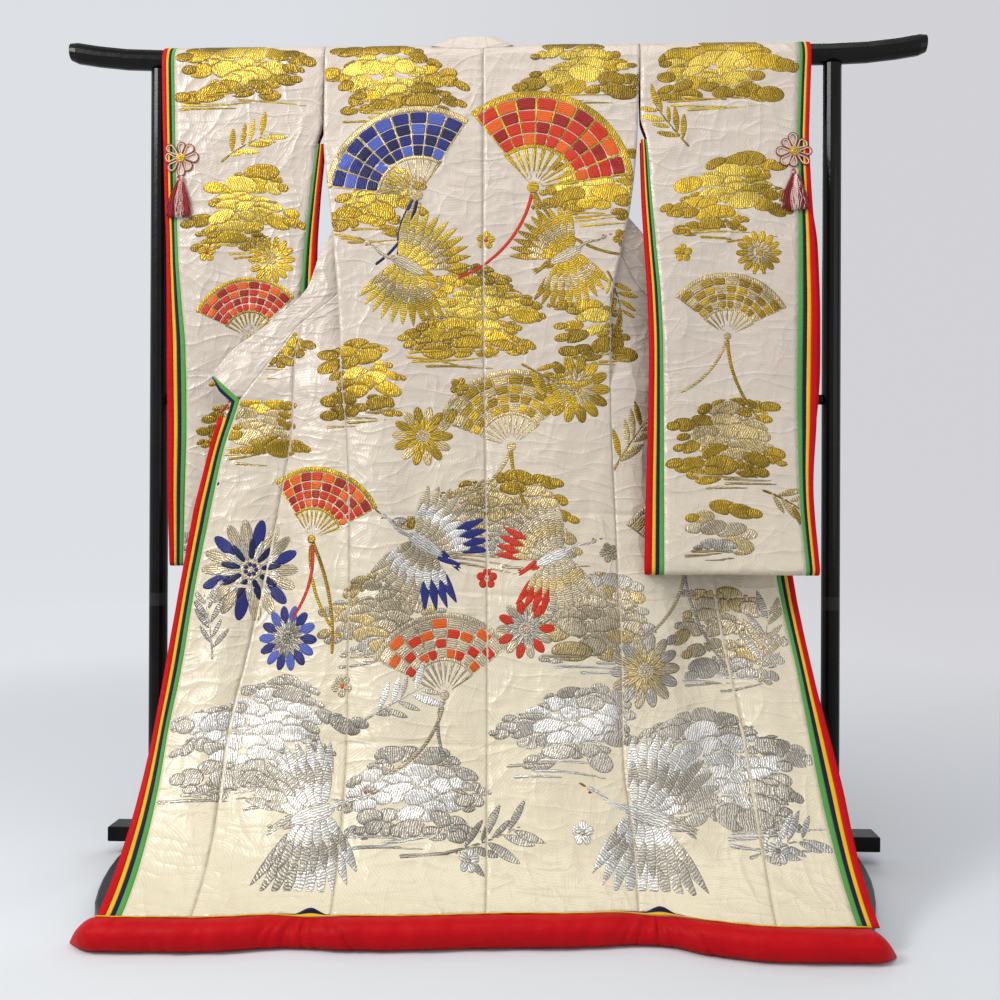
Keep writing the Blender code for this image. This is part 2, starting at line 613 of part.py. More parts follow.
def collar():
    """One collar from end to end: up a front, over the bar, round the back of the neck, down."""
    def side_rows(side):
        rows = []
        heights = [NOTCH_HEIGHT + 0.006] + [z for z in LEVELS if z > NOTCH_HEIGHT + 0.01]
        for height in heights:
            width = collar_width(side, height) - SEAM / 2
            insides = [width, width * 2 / 3, width / 3, 0.0]
            if height in ROLL_ROWS:
                at_turn = ROLL_ROWS.index(height)
                turn = turn_insides(side, height)[1]
                insides[1:3] = [turn + (at_turn - j) * COLLAR_TURN_STEP for j in (1, 2)]
            rows.append([front_point(side, height, inside) for inside in insides])
        for angle, seam_in, edge_in, edge_y, edge_height in COLLAR_TURN:
            x = NECK[side] - SIGN[side] * seam_in
            seam = over_bar(x, angle) + Vector((0, 0, SEAM))
            edge = Vector((NECK[side] - SIGN[side] * edge_in, edge_y, edge_height))
            rows.append([(seam.lerp(edge, j / 3), None) for j in range(4)])
        return rows

    left = side_rows("left")
    right = side_rows("right")
    back = []
    start = NECK_LEFT + NECK_TURN_IN
    end = NECK_RIGHT - NECK_TURN_IN
    neck = over_bar(0.0, ARC_ANGLES[0])
    for k in range(NECK_STATIONS):
        x = start + (end - start) * k / (NECK_STATIONS - 1)
        seam = Vector((x, neck.y, neck.z + 2 * SEAM))
        edge = Vector((x, -0.0140, COLLAR_STAND))
        back.append([(seam.lerp(edge, j / 3), None) for j in range(4)])
    rows = left + back + list(reversed(right))
    points = [[point for point, _ in row] for row in rows]
    found = []
    for i, row in enumerate(rows):
        low = points[max(i - 1, 0)]
        high = points[min(i + 1, len(rows) - 1)]
        line = []
        for j, (point, normal) in enumerate(row):
            if normal is None:
                along = high[j] - low[j]
                across = points[i][-1] - points[i][0]
                normal = along.cross(across).normalized()
            line.append((point, normal))
        found.append(line)
    return shell("collar", "silk_ivory", found, COLLAR_WALL)


# ---- bands along the fronts --------------------------------------------------------------
TIED_HEIGHT = 0.905             # the yellow and red bands are tied back above this height


def front_bands(side):
    """The four linings' edges beyond a front's edge; two of them turn onto the collar's end."""
    sign = SIGN[side]
    tip = Vector((front_edge(side, COLLAR_TIP_HEIGHT), COLLAR_TIP_HEIGHT))
    notch = Vector((front_edge(side, NOTCH_HEIGHT), NOTCH_HEIGHT))
    below = Vector((front_edge(side, NOTCH_HEIGHT - 0.1), NOTCH_HEIGHT - 0.1))

    def out_of(a, b):
        """Square to the edge from a to b, pointing away from the cloth."""
        run = (b - a).normalized()
        return Vector((run.y, -run.x)) if sign < 0 else Vector((-run.y, run.x))

    first = out_of(tip, notch)
    second = out_of(notch, below)
    corner = (first + second) / (1 + first.dot(second))
    width = abs(read(FRONT_EDGES, side + "_outer", NOTCH_HEIGHT) - notch.x)

    def on_plane(place):
        point = face(place.x, place.y) + Vector((0, lift_at(place.y), 0))
        return point, face_normal(place.x, place.y)

    levels = [z for z in reversed(LEVELS) if z < NOTCH_HEIGHT - 0.01]
    for name, start, end, wall in BANDS:
        gap = SEAM / width
        shares = (start + gap, end)
        rows = []
        if name in TURNED_BANDS:
            for along, narrowed in ((0.06, 0.3), (0.5, 1.0)):
                place = tip.lerp(notch, along) + first * SEAM
                rows.append([on_plane(place + first * share * width * narrowed) for share in shares])
            rows.append([on_plane(notch + corner * share * width) for share in shares])
        else:
            rows.append([front_point(side, TIED_HEIGHT, -share * width) for share in shares])
        for height in levels:
            if name not in TURNED_BANDS and height > TIED_HEIGHT - 0.02:
                continue
            level_width = abs(read(FRONT_EDGES, side + "_outer", height) - front_edge(side, height))
            rows.append([front_point(side, height, -share * level_width) for share in shares])
        shell("front_" + name + "_" + side, "silk_" + name, rows, wall)


# ---- sleeves -----------------------------------------------------------------------------
SLEEVE_COLUMNS = 5
SLEEVE_LEVELS = (0.61, 0.72, 0.84, 0.96, 1.07, 1.18, 1.28, 1.38, 1.474, 1.53, 1.59, 1.645)
POST_CLEARANCE = 0.011          # the left sleeve's rear layer keeps this much further in by the post
LINING_SHOW = 0.009             # the right sleeve's rear layer shows this far beyond the front one
SLEEVE_FOLD_AT = {"left": -0.51, "right": 0.46}
SLEEVE_FOLD_WIDTH = 0.19
SLEEVE_FOLD_DEPTH = 0.0025
SLEEVE_FOLD_TOP = 1.55
SLEEVE_FOLD_FADE = 0.35


def sleeve_x(side, column, height, rear):
    x = read(SLEEVE_EDGES, side + "_" + column, height)
    if not rear:
        return x
    if side == "left":
        inward = smooth((SHOULDER_HEIGHT - height) / 0.03) * smooth((height - 1.25) / 0.15)
        near_post = smooth((abs(x) - 0.62) / 0.03)
        return x + POST_CLEARANCE * inward * near_post
    outward = smooth((height - 0.80) / 0.2) * smooth((1.40 - height) / 0.15)
    return x + LINING_SHOW * outward * smooth((x - 0.60) / 0.04)


def sleeve_wave(side, x, height):
    """Soft folds down a sleeve, which fade out at the bar."""
    fade = smooth((SLEEVE_FOLD_TOP - height) / SLEEVE_FOLD_FADE)
    turns = (x - SLEEVE_FOLD_AT[side]) / SLEEVE_FOLD_WIDTH
    return SLEEVE_FOLD_DEPTH * fade * math.cos(2 * math.pi * turns)


def sleeve_ring(side, top):
    """Stations round a sleeve: up its front, over the bar, down its rear, and round its bottom.

    Each is a function from x to (point, normal), with the height and layer its edges are read at.
    """
    stations = []
    low = SLEEVE_LEVELS[0]

    def layer(height, rear):
        column = side + ("_rear" if rear else "_front")

        def at(x):
            step = 0.004

            def place(px, pz):
                wave = sleeve_wave(side, px, pz)
                return Vector((px, read(SLEEVE_DEPTHS, column, pz) + wave, pz))

            across = place(x + step, height) - place(x - step, height)
            upward = place(x, height + step) - place(x, height - step)
            normal = across.cross(upward).normalized()
            return place(x, height), -normal if rear else normal

        return at

    def over(angle):
        return lambda x: (over_bar(x, angle), over_bar_normal(angle))

    def under(angle):
        front = read(SLEEVE_DEPTHS, side + "_front", low)
        rear = read(SLEEVE_DEPTHS, side + "_rear", low)
        radius = (rear - front) / 2

        def at(x):
            middle = Vector((x, (front + rear) / 2 + sleeve_wave(side, x, low), low))
            normal = Vector((0, math.cos(angle), -math.sin(angle)))
            return middle + normal * radius, normal

        return at

    rear_levels = [z for z in reversed(SLEEVE_LEVELS) if z <= top]
    stations += [(layer(z, True), z, True) for z in rear_levels]
    stations += [(under(a), low, True) for a in (math.pi / 4, math.pi / 2)]
    stations += [(under(3 * math.pi / 4), low, False)]
    stations += [(layer(z, False), z, False) for z in SLEEVE_LEVELS if z <= top]
    if top >= SHOULDER_HEIGHT:
        stations += [(over(a), SHOULDER_HEIGHT, False) for a in ARC_ANGLES]
    return stations


def sleeve(side):
    rows = []
    for at, height, rear in sleeve_ring(side, SHOULDER_HEIGHT):
        body_edge = sleeve_x(side, "body", height, rear)
        wrist_edge = sleeve_x(side, "cloth", height, rear)
        rows.append([at(body_edge + (wrist_edge - body_edge) * j / SLEEVE_COLUMNS)
                     for j in range(SLEEVE_COLUMNS + 1)])
    return shell("sleeve_" + side, "silk_ivory", rows, WALL, closed=True)


def sleeve_bands(side):
    """Bands beyond a sleeve's two open edges: all round the wrist edge, and below the body seam."""
    for place, inner, outer, top in (("wrist", "cloth", "wrist", SHOULDER_HEIGHT),
                                     ("inner", "body", "inner", SLIT_TOP + 0.002)):
        for name, start, end, wall in BANDS:
            rows = []
            for at, height, rear in sleeve_ring(side, top):
                near = sleeve_x(side, inner, height, rear)
                far = sleeve_x(side, outer, height, rear)
                gap = math.copysign(SEAM, far - near)
                rows.append([at(near + (far - near) * start + gap), at(near + (far - near) * end)])
            shell("sleeve_" + place + "_" + name + "_" + side, "silk_" + name, rows, wall,
                  closed=place == "wrist")


# ---- hem roll ----------------------------------------------------------------------------
ROLL_STATIONS = 34
ROLL_SIDES = 12
GATHERS = ((-0.285, 0.045, 0.10), (0.300, 0.05, 0.12))  # where the roll is pinched: x, spread, share
HEM_EDGES = (("navy", 54.0, 62.0), ("yellow", 63.0, 72.0))  # degrees round the roll's upper back


def roll_scale(x):
    scale = 1.0
    for middle, spread, share in GATHERS:
        scale -= share * math.exp(-((x - middle) / spread) ** 2)
    near = min(x - ROLL_LEFT, ROLL_RIGHT - x) / ROLL_TAPER
    if near < 1:
        scale *= math.sqrt(max(1 - (1 - near) ** 2, 0.0004))
    return scale


def roll_point(x, angle, proud=0.0):
    """A point round the roll, from its back (0) over its top (pi / 2). It rests on the floor."""
    scale = roll_scale(x)
    power = 2 / ROLL_POWER
    cosine = math.copysign(abs(math.cos(angle)) ** power, math.cos(angle))
    sine = math.copysign(abs(math.sin(angle)) ** power, math.sin(angle))
    y = HEM_Y + read(HEM_TRAIL, "back", x, "across") - ROLL_BACK
    y += (ROLL_HALF_DEPTH * scale + proud) * cosine
    return Vector((x, y, ROLL_HALF_HEIGHT * scale + (ROLL_HALF_HEIGHT * scale + proud) * sine))


def roll_stations():
    """Where the roll's rings stand, closer together at its two ends."""
    shares = [k / ROLL_STATIONS for k in range(ROLL_STATIONS + 1)]
    eased = [share - 0.018 * math.sin(2 * math.pi * share) for share in shares]
    return [ROLL_LEFT + (ROLL_RIGHT - ROLL_LEFT) * share for share in eased]


def hem_roll():
    points = []
    for x in roll_stations():
        points += [roll_point(x, 2 * math.pi * j / ROLL_SIDES) for j in range(ROLL_SIDES)]
    faces = [tuple(range(ROLL_SIDES)), tuple(range(len(points) - ROLL_SIDES, len(points)))]
    for k in range(ROLL_STATIONS):
        for j in range(ROLL_SIDES):
            after = (j + 1) % ROLL_SIDES
            faces.append((k * ROLL_SIDES + j, k * ROLL_SIDES + after,
                          (k + 1) * ROLL_SIDES + after, (k + 1) * ROLL_SIDES + j))
    return make_object("hem_roll", "silk_red", points, faces)


def hem_edges():
    """The navy and yellow linings' edges, which lie on the roll's upper back."""
    wall = 0.0015
    for name, low, high in HEM_EDGES:
        rows = []
        for x in roll_stations()[3:-3]:
            row = []
            for degrees in (low, high):
                angle = math.radians(degrees)
                seat = roll_point(x, angle, SEAM / 3)
                outer = roll_point(x, angle, SEAM / 3 + wall)
                row.append((outer, (outer - seat).normalized()))
            rows.append(row)
        shell("hem_" + name, "silk_" + name, rows, wall * 0.8)


# ---- flower knots and tassels --------------------------------------------------------------
def on_sleeve(side, x, height, proud):
    """A point in front of a sleeve's face, measured level."""
    y = read(SLEEVE_DEPTHS, side + "_front", height) + sleeve_wave(side, x, height)
    return Vector((x, y - KNOT_CLEARANCE[side] - proud, height))


def flower_line():
    """The flower's cord as a closed flat curve: round each petal, in, and back out to the next."""
    half = math.pi / KNOT_LOOPS
    petal_at = KNOT_RADIUS - KNOT_CORD - KNOT_PETAL
    line = []
    for loop in range(KNOT_LOOPS):
        axis = 2 * half * loop
        for k in range(KNOT_PETAL_STEPS):
            angle = (math.pi / 2 + half) * (2 * k / (KNOT_PETAL_STEPS - 1) - 1)
            along = petal_at + KNOT_PETAL * math.cos(angle)
            across = KNOT_PETAL * math.sin(angle)
            line.append((along * math.cos(axis) - across * math.sin(axis),
                         along * math.sin(axis) + across * math.cos(axis)))
        valley = axis + half
        gap = petal_at * math.sin(half) - KNOT_PETAL
        for k in range(KNOT_VALLEY_STEPS):
            angle = math.pi * k / (KNOT_VALLEY_STEPS - 1)
            along = KNOT_VALLEY - gap * math.sin(angle)
            across = -gap * math.cos(angle)
            line.append((along * math.cos(valley) - across * math.sin(valley),
                         along * math.sin(valley) + across * math.cos(valley)))
    return line


def knot(side, middle):
    """A flower of looped cord: one closed cord that runs out and back for each petal."""
    sides = 4
    line = flower_line()
    points = []
    for k, (u, w) in enumerate(line):
        after = line[(k + 1) % len(line)]
        before = line[k - 1]
        run = Vector((after[0] - before[0], after[1] - before[1])).normalized()
        for j in range(sides):
            angle = 2 * math.pi * (j + 0.5) / sides
            out = KNOT_CORD * math.cos(angle)
            proud = KNOT_CORD * (0.8 + math.sin(angle))
            points.append(on_sleeve(side, middle + u - run.y * out, KNOT_HEIGHT + w + run.x * out, proud))
    faces = []
    for k in range(len(line)):
        for j in range(sides):
            after = (j + 1) % sides
            low = k * sides
            high = (k + 1) % len(line) * sides
            faces.append((low + j, low + after, high + after, high + j))
    make_object("knot_" + side, "cord_pink", points, faces)


def knot_heart(side, middle):
    """The gold button in the flower's middle."""
    sides = 10
    rings = ((0.0068, 0.0003), (0.0068, 0.0022), (0.0046, 0.0040))
    points = []
    for radius, proud in rings:
        for j in range(sides):
            angle = 2 * math.pi * j / sides
            points.append(on_sleeve(side, middle + radius * math.cos(angle),
                                    KNOT_HEIGHT + radius * math.sin(angle), proud))
    faces = [tuple(range(sides)), tuple(range(2 * sides, 3 * sides))]
    for k in range(2):
        for j in range(sides):
            after = (j + 1) % sides
            faces.append((k * sides + j, k * sides + after, (k + 1) * sides + after, (k + 1) * sides + j))
    make_object("knot_heart_" + side, "cord_gold", points, faces)


def tassel(side, middle):
    """A bound head with strands that hang from its underside."""
    top = KNOT_HEIGHT - KNOT_RADIUS - KNOT_CORD - SEAM
    work = bmesh.new()
    bmesh.ops.create_grid(work, x_segments=TASSEL_STRANDS, y_segments=3, size=1.0)
    bottom = list(work.faces)
    lifted = bmesh.ops.extrude_face_region(work, geom=bottom, use_keep_orig=True)
    for item in lifted["geom"]:
        if isinstance(item, bmesh.types.BMVert):
            item.co = Vector((item.co.x * 0.62, item.co.y * 0.62, 1.0))
    bottom = [f for f in work.faces if all(abs(v.co.z) < 1e-6 for v in f.verts)]
    bmesh.ops.inset_individual(work, faces=bottom, thickness=0.05, depth=0.0)
    ends = [f for f in bottom if f.is_valid]
    length = (TASSEL_LENGTH - TASSEL_HEAD) / TASSEL_HEAD
    for step in range(1, 4):
        grown = bmesh.ops.extrude_discrete_faces(work, faces=ends)
        ends = grown["faces"]
        for n, end in enumerate(ends):
            middle_point = end.calc_center_median()
            for vert in end.verts:
                flare = 1.0 + 0.10 * (2 - step)
                vert.co.x = middle_point.x * flare + (vert.co.x - middle_point.x)
                vert.co.z = -length * step / 3 * (1 - 0.05 * (n % 3))
    points = []
    for vert in work.verts:
        height = top - TASSEL_HEAD + vert.co.z * TASSEL_HEAD
        x = middle + vert.co.x * TASSEL_HALF
        points.append(on_sleeve(side, x, height, TASSEL_DEPTH * (1 + vert.co.y) + SEAM))
    work.verts.index_update()
    faces = [tuple(v.index for v in f.verts) for f in work.faces]
    work.free()
    make_object("tassel_" + side, "cord_pink", points, faces)


# ---- stand -------------------------------------------------------------------------------
def tube(name, slot, stations, sides):
    """A closed bar through stations of (centre, half width, half height) along X."""
    points = []
    for centre, half_depth, half_height in stations:
        for j in range(sides):
            angle = 2 * math.pi * (j + 0.5) / sides
            points.append(centre + Vector((0, half_depth * math.cos(angle), half_height * math.sin(angle))))
    faces = [tuple(range(sides)), tuple(range(len(points) - sides, len(points)))]
    for k in range(len(stations) - 1):
        for j in range(sides):
            after = (j + 1) % sides
            faces.append((k * sides + j, k * sides + after, (k + 1) * sides + after, (k + 1) * sides + j))
    return make_object(name, slot, points, faces)


def top_bar():
    """The round bar, level between the posts, with its ends turned up."""
    stations = []
    half = BAR_LENGTH / 2
    marks = (0.0, 0.35, half - BAR_TIP_LENGTH, half - 0.12, half - 0.06, half - 0.015, half)
    for x in [-m for m in reversed(marks)] + list(marks[1:]):
        rise = BAR_TIP_RISE * max((abs(x) - half + BAR_TIP_LENGTH) / BAR_TIP_LENGTH, 0.0) ** 2
        blunt = 0.82 if abs(x) > half - 0.001 else 1.0
        centre = Vector((x, 0, BAR_HEIGHT + rise))
        stations.append((centre, BAR_HALF_DEPTH * blunt, BAR_HALF_HEIGHT * blunt))
    tube("top_bar", "lacquer_black", stations, 16)


def cylinder(name, radius, start, end, sides=16):
    """A round rail or post between two points."""
    axis = end - start
    bpy.ops.mesh.primitive_cylinder_add(vertices=sides, radius=radius, depth=axis.length)
    thing = bpy.context.object
    thing.name = name
    thing.data.name = name
    thing.data.materials.append(finish("lacquer_black"))
    thing.rotation_mode = "QUATERNION"
    thing.rotation_quaternion = axis.to_track_quat("Z", "Y")
    thing.location = (start + end) / 2 + Vector((0, STAND_Y, 0))
    thing.data.shade_smooth()
    thing.data.set_sharp_from_angle(angle=math.radians(45))
    return thing


def posts_and_mid_rail():
    for side, sign in SIGN.items():
        foot = Vector((sign * POST_X, 0, BASE_RAIL_TOP + SEAM))
        head = Vector((sign * POST_X, 0, BAR_HEIGHT - BAR_HALF_HEIGHT - SEAM))
        cylinder("post_" + side, POST_RADIUS, foot, head)
    reach = POST_X - POST_RADIUS - SEAM
    start = Vector((-reach, 0, MID_RAIL_HEIGHT))
    end = Vector((reach, 0, MID_RAIL_HEIGHT))
    cylinder("mid_rail", MID_RAIL_RADIUS, start, end, 12)


def base_rail():
    bpy.ops.mesh.primitive_cube_add(size=1.0)
    thing = bpy.context.object
    thing.name = "base_rail"
    thing.data.name = "base_rail"
    size = (BASE_RAIL_LENGTH, BASE_RAIL_DEPTH, BASE_RAIL_TOP - BASE_RAIL_LOW)
    for vert in thing.data.vertices:
        vert.co = Vector(c * s for c, s in zip(vert.co, size))
    thing.location = (0, STAND_Y, (BASE_RAIL_TOP + BASE_RAIL_LOW) / 2)
    thing.data.materials.append(finish("lacquer_black"))
    bevel = thing.modifiers.new("round_edges", "BEVEL")
    bevel.width = 0.003
    bevel.segments = 2


def foot(side):
    """A low board on edge to the floor, bowed in towards its two ends."""
    sign = SIGN[side]
    sections = 14
    lip = 0.004
    half = FOOT_WIDTH / 2
    profile = ((-half, 0.0), (half, 0.0), (half, FOOT_HEIGHT - lip), (half - lip, FOOT_HEIGHT),
               (-half + lip, FOOT_HEIGHT), (-half, FOOT_HEIGHT - lip))
    points = []
    for k in range(sections + 1):
        y = FOOT_LENGTH * (k / sections - 0.5)
        middle = FOOT_X - FOOT_BOW * y * y
        end_pinch = 0.8 if k in (0, sections) else 1.0
        for across, height in profile:
            points.append(Vector((sign * (middle + across * end_pinch), y, height)))
    count = len(profile)
    faces = [tuple(range(count)), tuple(range(len(points) - count, len(points)))]
    for k in range(sections):
        for j in range(count):
            after = (j + 1) % count
            faces.append((k * count + j, k * count + after, (k + 1) * count + after, (k + 1) * count + j))
    make_object("foot_" + side, "lacquer_black", points, faces)


def build_kimono():
    for side in SIGN:
        body(side)
        okumi(side)
        front_bands(side)
        sleeve(side)
        sleeve_bands(side)
    collar()
    hem_roll()
    hem_edges()
    for side, middle in KNOT_X:
        knot(side, middle)
        knot_heart(side, middle)
        tassel(side, middle)


def build_stand():
    top_bar()
    posts_and_mid_rail()
    base_rail()
    foot("left")
    foot("right")


for old in list(bpy.data.objects):
    bpy.data.objects.remove(old)
build_kimono()
build_stand()
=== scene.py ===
import math
import random

import bmesh
import bpy
import numpy as np
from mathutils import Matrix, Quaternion, Vector


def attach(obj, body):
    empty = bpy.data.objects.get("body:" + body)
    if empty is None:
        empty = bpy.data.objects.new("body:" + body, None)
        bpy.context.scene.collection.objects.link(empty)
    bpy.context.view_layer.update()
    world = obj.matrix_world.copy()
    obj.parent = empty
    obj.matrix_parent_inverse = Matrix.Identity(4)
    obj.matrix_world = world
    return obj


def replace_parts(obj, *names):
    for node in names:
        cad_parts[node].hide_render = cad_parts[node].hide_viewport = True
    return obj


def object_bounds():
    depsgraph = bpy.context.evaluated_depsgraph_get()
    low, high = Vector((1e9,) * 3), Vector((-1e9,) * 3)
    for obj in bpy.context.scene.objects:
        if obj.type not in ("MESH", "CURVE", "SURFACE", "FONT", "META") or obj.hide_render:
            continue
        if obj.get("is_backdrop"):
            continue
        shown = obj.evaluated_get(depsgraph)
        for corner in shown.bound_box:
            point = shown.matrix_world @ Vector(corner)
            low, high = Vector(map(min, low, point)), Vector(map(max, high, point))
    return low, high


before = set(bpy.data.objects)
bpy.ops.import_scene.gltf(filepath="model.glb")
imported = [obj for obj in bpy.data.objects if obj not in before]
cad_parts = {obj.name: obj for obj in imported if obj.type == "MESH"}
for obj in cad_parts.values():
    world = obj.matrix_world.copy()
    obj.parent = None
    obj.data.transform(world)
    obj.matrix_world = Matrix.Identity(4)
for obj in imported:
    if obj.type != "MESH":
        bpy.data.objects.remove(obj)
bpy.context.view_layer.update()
print("frame loaded")

standY = 0.0590    # the stand's plane
seamGap = 0.00014


# the hanging cloth's own sizes, in metres, the same as the solids'
hang = {"scale": 0.175, "start": 0.5, "hemHeight": 0.045, "hemY": -0.470, "shoulder": 1.645,
        "foldHalf": 0.030, "foldRise": 0.0418, "sideTop": 1.235, "slitTop": 1.473,
        "neckLeft": -0.126, "neckRight": 0.044, "wall": 0.0015}
pleat = {"top": 1.00, "ramp": 0.03, "lift": 0.007, "halfGap": 0.008, "tight": 0.20,
         "tightFrom": 1.27, "rollHalf": 1.59, "rollTop": 1.63}
okumiTop, notchHeight, tipHeight, tiedHeight = 1.100, 0.941, 0.993, 0.905

seamLines = {
    "height":      (0.03, 0.13, 0.28, 0.45, 0.60, 0.75, 0.90, 1.00, 1.11, 1.24, 1.34, 1.48, 1.66),
    "left_okumi":  (-0.474, -0.478, -0.485, -0.461, -0.440, -0.418, -0.397, -0.397, -0.387, -0.380,
                    -0.38, -0.38, -0.38),
    "left_side":   (-0.245, -0.250, -0.254, -0.262, -0.267, -0.274, -0.286, -0.298, -0.305, -0.318,
                    -0.330, -0.346, -0.348),
    "centre":      (0.014, 0.010, 0.006, 0.003, 0.000, -0.004, -0.008, -0.011, -0.013, -0.015,
                    -0.016, -0.017, -0.018),
    "right_side":  (0.272, 0.270, 0.256, 0.257, 0.252, 0.247, 0.242, 0.241, 0.241, 0.262,
                    0.283, 0.297, 0.303),
    "right_okumi": (0.490, 0.494, 0.486, 0.461, 0.440, 0.418, 0.397, 0.395, 0.387, 0.380,
                    0.38, 0.38, 0.38),
}
frontEdges = {
    "height":      (0.03, 0.13, 0.20, 0.28, 0.40, 0.56, 0.70, 0.83, 0.941),
    "left_cloth":  (-0.590, -0.595, -0.598, -0.600, -0.591, -0.580, -0.561, -0.539, -0.507),
    "left_outer":  (-0.632, -0.633, -0.632, -0.629, -0.623, -0.611, -0.595, -0.569, -0.540),
    "right_cloth": (0.622, 0.617, 0.612, 0.606, 0.595, 0.570, 0.552, 0.535, 0.507),
    "right_outer": (0.658, 0.655, 0.654, 0.645, 0.625, 0.602, 0.588, 0.566, 0.540),
}
collarLine = {
    "height": (0.993, 1.046, 1.102, 1.175, 1.253, 1.35, 1.45, 1.55, 1.62, 1.66),
    "left":   (0.566, 0.526, 0.451, 0.375, 0.349, 0.290, 0.225, 0.155, 0.100, 0.070),
    "right":  (0.566, 0.526, 0.451, 0.370, 0.330, 0.255, 0.170, 0.090, 0.025, -0.012),
    "width":  (0.097, 0.096, 0.066, 0.072, 0.075, 0.072, 0.066, 0.060, 0.056, 0.056),
}
pleatDepth = {
    "height": (1.00, 1.03, 1.11, 1.20, 1.30, 1.45, 1.55, 1.62, 1.66),
    "left":   (0.0, 0.022, 0.062, 0.110, 0.145, 0.1925, 0.219, 0.252, 0.278),
    "right":  (0.0, 0.022, 0.062, 0.110, 0.145, 0.2005, 0.235, 0.280, 0.315),
}
wingBack = {
    "height": (0.045, 0.28, 0.60, 0.90, 1.10, 1.20, 1.30),
    "left":   (0.0, 0.038, 0.050, 0.036, 0.012, 0.008, 0.0),
    "right":  (0.0, 0.045, 0.068, 0.060, 0.050, 0.036, 0.0),
}
wingRamp = 0.17
hemTrail = {
    "across": (-0.68, -0.62, -0.465, -0.30, -0.20, 0.03, 0.17, 0.27, 0.32, 0.38, 0.50, 0.65, 0.69),
    "back":   (-0.010, -0.034, -0.031, -0.006, -0.012, 0.009, 0.018, 0.032, 0.026, -0.004, -0.029,
               -0.026, -0.006),
}
hemTrailRise = 0.11
# foot across, head across, half width, depth, foot, head
bigFolds = (
    (-0.250, -0.315, 0.030, -0.007, 0.04, 1.15),
    (-0.165, -0.225, 0.055, 0.010, 0.10, 1.20),
    (0.008, -0.013, 0.035, -0.005, 0.06, 1.30),
    (0.130, 0.120, 0.060, 0.010, 0.10, 1.10),
    (0.272, 0.245, 0.030, -0.008, 0.04, 1.20),
    (-0.370, -0.345, 0.040, 0.011, 0.06, 0.85),
    (-0.478, -0.400, 0.026, -0.008, 0.05, 0.98),
    (-0.545, -0.480, 0.030, 0.007, 0.08, 0.86),
    (0.370, 0.330, 0.040, 0.011, 0.06, 0.80),
    (0.492, 0.410, 0.028, -0.008, 0.05, 0.90),
    (0.560, 0.500, 0.030, 0.007, 0.08, 0.80),
)
# the small creases: from, to (across and height), half width, depth
creases = (
    (-0.56, 0.705, 0.54, 0.715, 0.0045, -0.0026), (-0.58, 0.572, -0.10, 0.560, 0.0045, -0.0027),
    (-0.12, 0.561, 0.57, 0.554, 0.0045, -0.0022), (-0.60, 0.297, 0.61, 0.288, 0.0045, -0.0026),
    (-0.34, 1.170, 0.25, 1.160, 0.006, -0.0012), (-0.32, 0.925, 0.24, 0.935, 0.007, -0.0013),
    (-0.33, 1.420, 0.29, 1.410, 0.006, -0.0011), (-0.60, 0.435, -0.28, 0.452, 0.009, -0.0012),
    (-0.330, 1.44, -0.210, 1.53, 0.010, 0.0030), (-0.332, 1.40, -0.240, 1.46, 0.009, 0.0024),
    (-0.325, 1.48, -0.235, 1.58, 0.012, -0.0024), (0.290, 1.44, 0.200, 1.52, 0.010, 0.0028),
    (0.285, 1.39, 0.215, 1.44, 0.009, 0.0024), (0.295, 1.50, 0.215, 1.59, 0.012, -0.0022),
    (-0.24, 1.05, -0.16, 0.78, 0.014, 0.0020), (0.19, 1.08, 0.13, 0.80, 0.014, 0.0022),
    (-0.29, 0.90, -0.23, 0.70, 0.010, -0.0018), (0.22, 0.86, 0.17, 0.62, 0.012, -0.0020),
    (-0.09, 1.40, -0.05, 1.12, 0.016, 0.0018), (0.07, 1.42, 0.05, 1.10, 0.016, -0.0016),
    (-0.53, 0.24, -0.30, 0.115, 0.011, 0.0028), (-0.40, 0.21, -0.26, 0.13, 0.009, -0.0024),
    (-0.16, 0.17, -0.02, 0.105, 0.010, 0.0024), (0.05, 0.12, 0.22, 0.165, 0.010, 0.0024),
    (0.29, 0.13, 0.47, 0.205, 0.011, 0.0026), (0.36, 0.11, 0.56, 0.150, 0.009, -0.0022),
    (-0.50, 0.085, -0.33, 0.100, 0.008, 0.0020), (0.10, 0.085, 0.25, 0.095, 0.007, 0.0018),
    (-0.55, 0.40, -0.47, 0.60, 0.012, 0.0022), (0.54, 0.38, 0.48, 0.60, 0.012, 0.0022),
    (-0.45, 0.96, -0.36, 1.06, 0.010, 0.0026), (-0.50, 0.90, -0.38, 0.98, 0.009, -0.0022),
    (-0.49, 0.84, -0.35, 0.87, 0.010, 0.0018), (0.30, 0.95, 0.37, 1.02, 0.010, 0.0018),
)
sleeveEdges = {
    "height":       (0.60, 0.75, 0.90, 1.05, 1.15, 1.25, 1.36, 1.474, 1.52, 1.66),
    "left_wrist":   (-0.666, -0.671, -0.672, -0.674, -0.675, -0.676, -0.680, -0.683, -0.685, -0.688),
    "left_cloth":   (-0.637, -0.634, -0.631, -0.634, -0.643, -0.651, -0.655, -0.658, -0.659, -0.662),
    "left_inner":   (-0.356, -0.358, -0.360, -0.362, -0.364, -0.363, -0.357, -0.3486, -0.3486, -0.3486),
    "left_body":    (-0.392, -0.394, -0.396, -0.397, -0.394, -0.388, -0.376, -0.361, -0.3486, -0.3486),
    "right_wrist":  (0.633, 0.626, 0.638, 0.647, 0.650, 0.649, 0.645, 0.643, 0.645, 0.652),
    "right_cloth":  (0.607, 0.599, 0.600, 0.606, 0.611, 0.615, 0.618, 0.619, 0.621, 0.628),
    "right_inner":  (0.302, 0.307, 0.313, 0.317, 0.315, 0.310, 0.305, 0.3036, 0.3036, 0.3036),
    "right_body":   (0.338, 0.340, 0.342, 0.343, 0.340, 0.332, 0.324, 0.316, 0.3036, 0.3036),
}
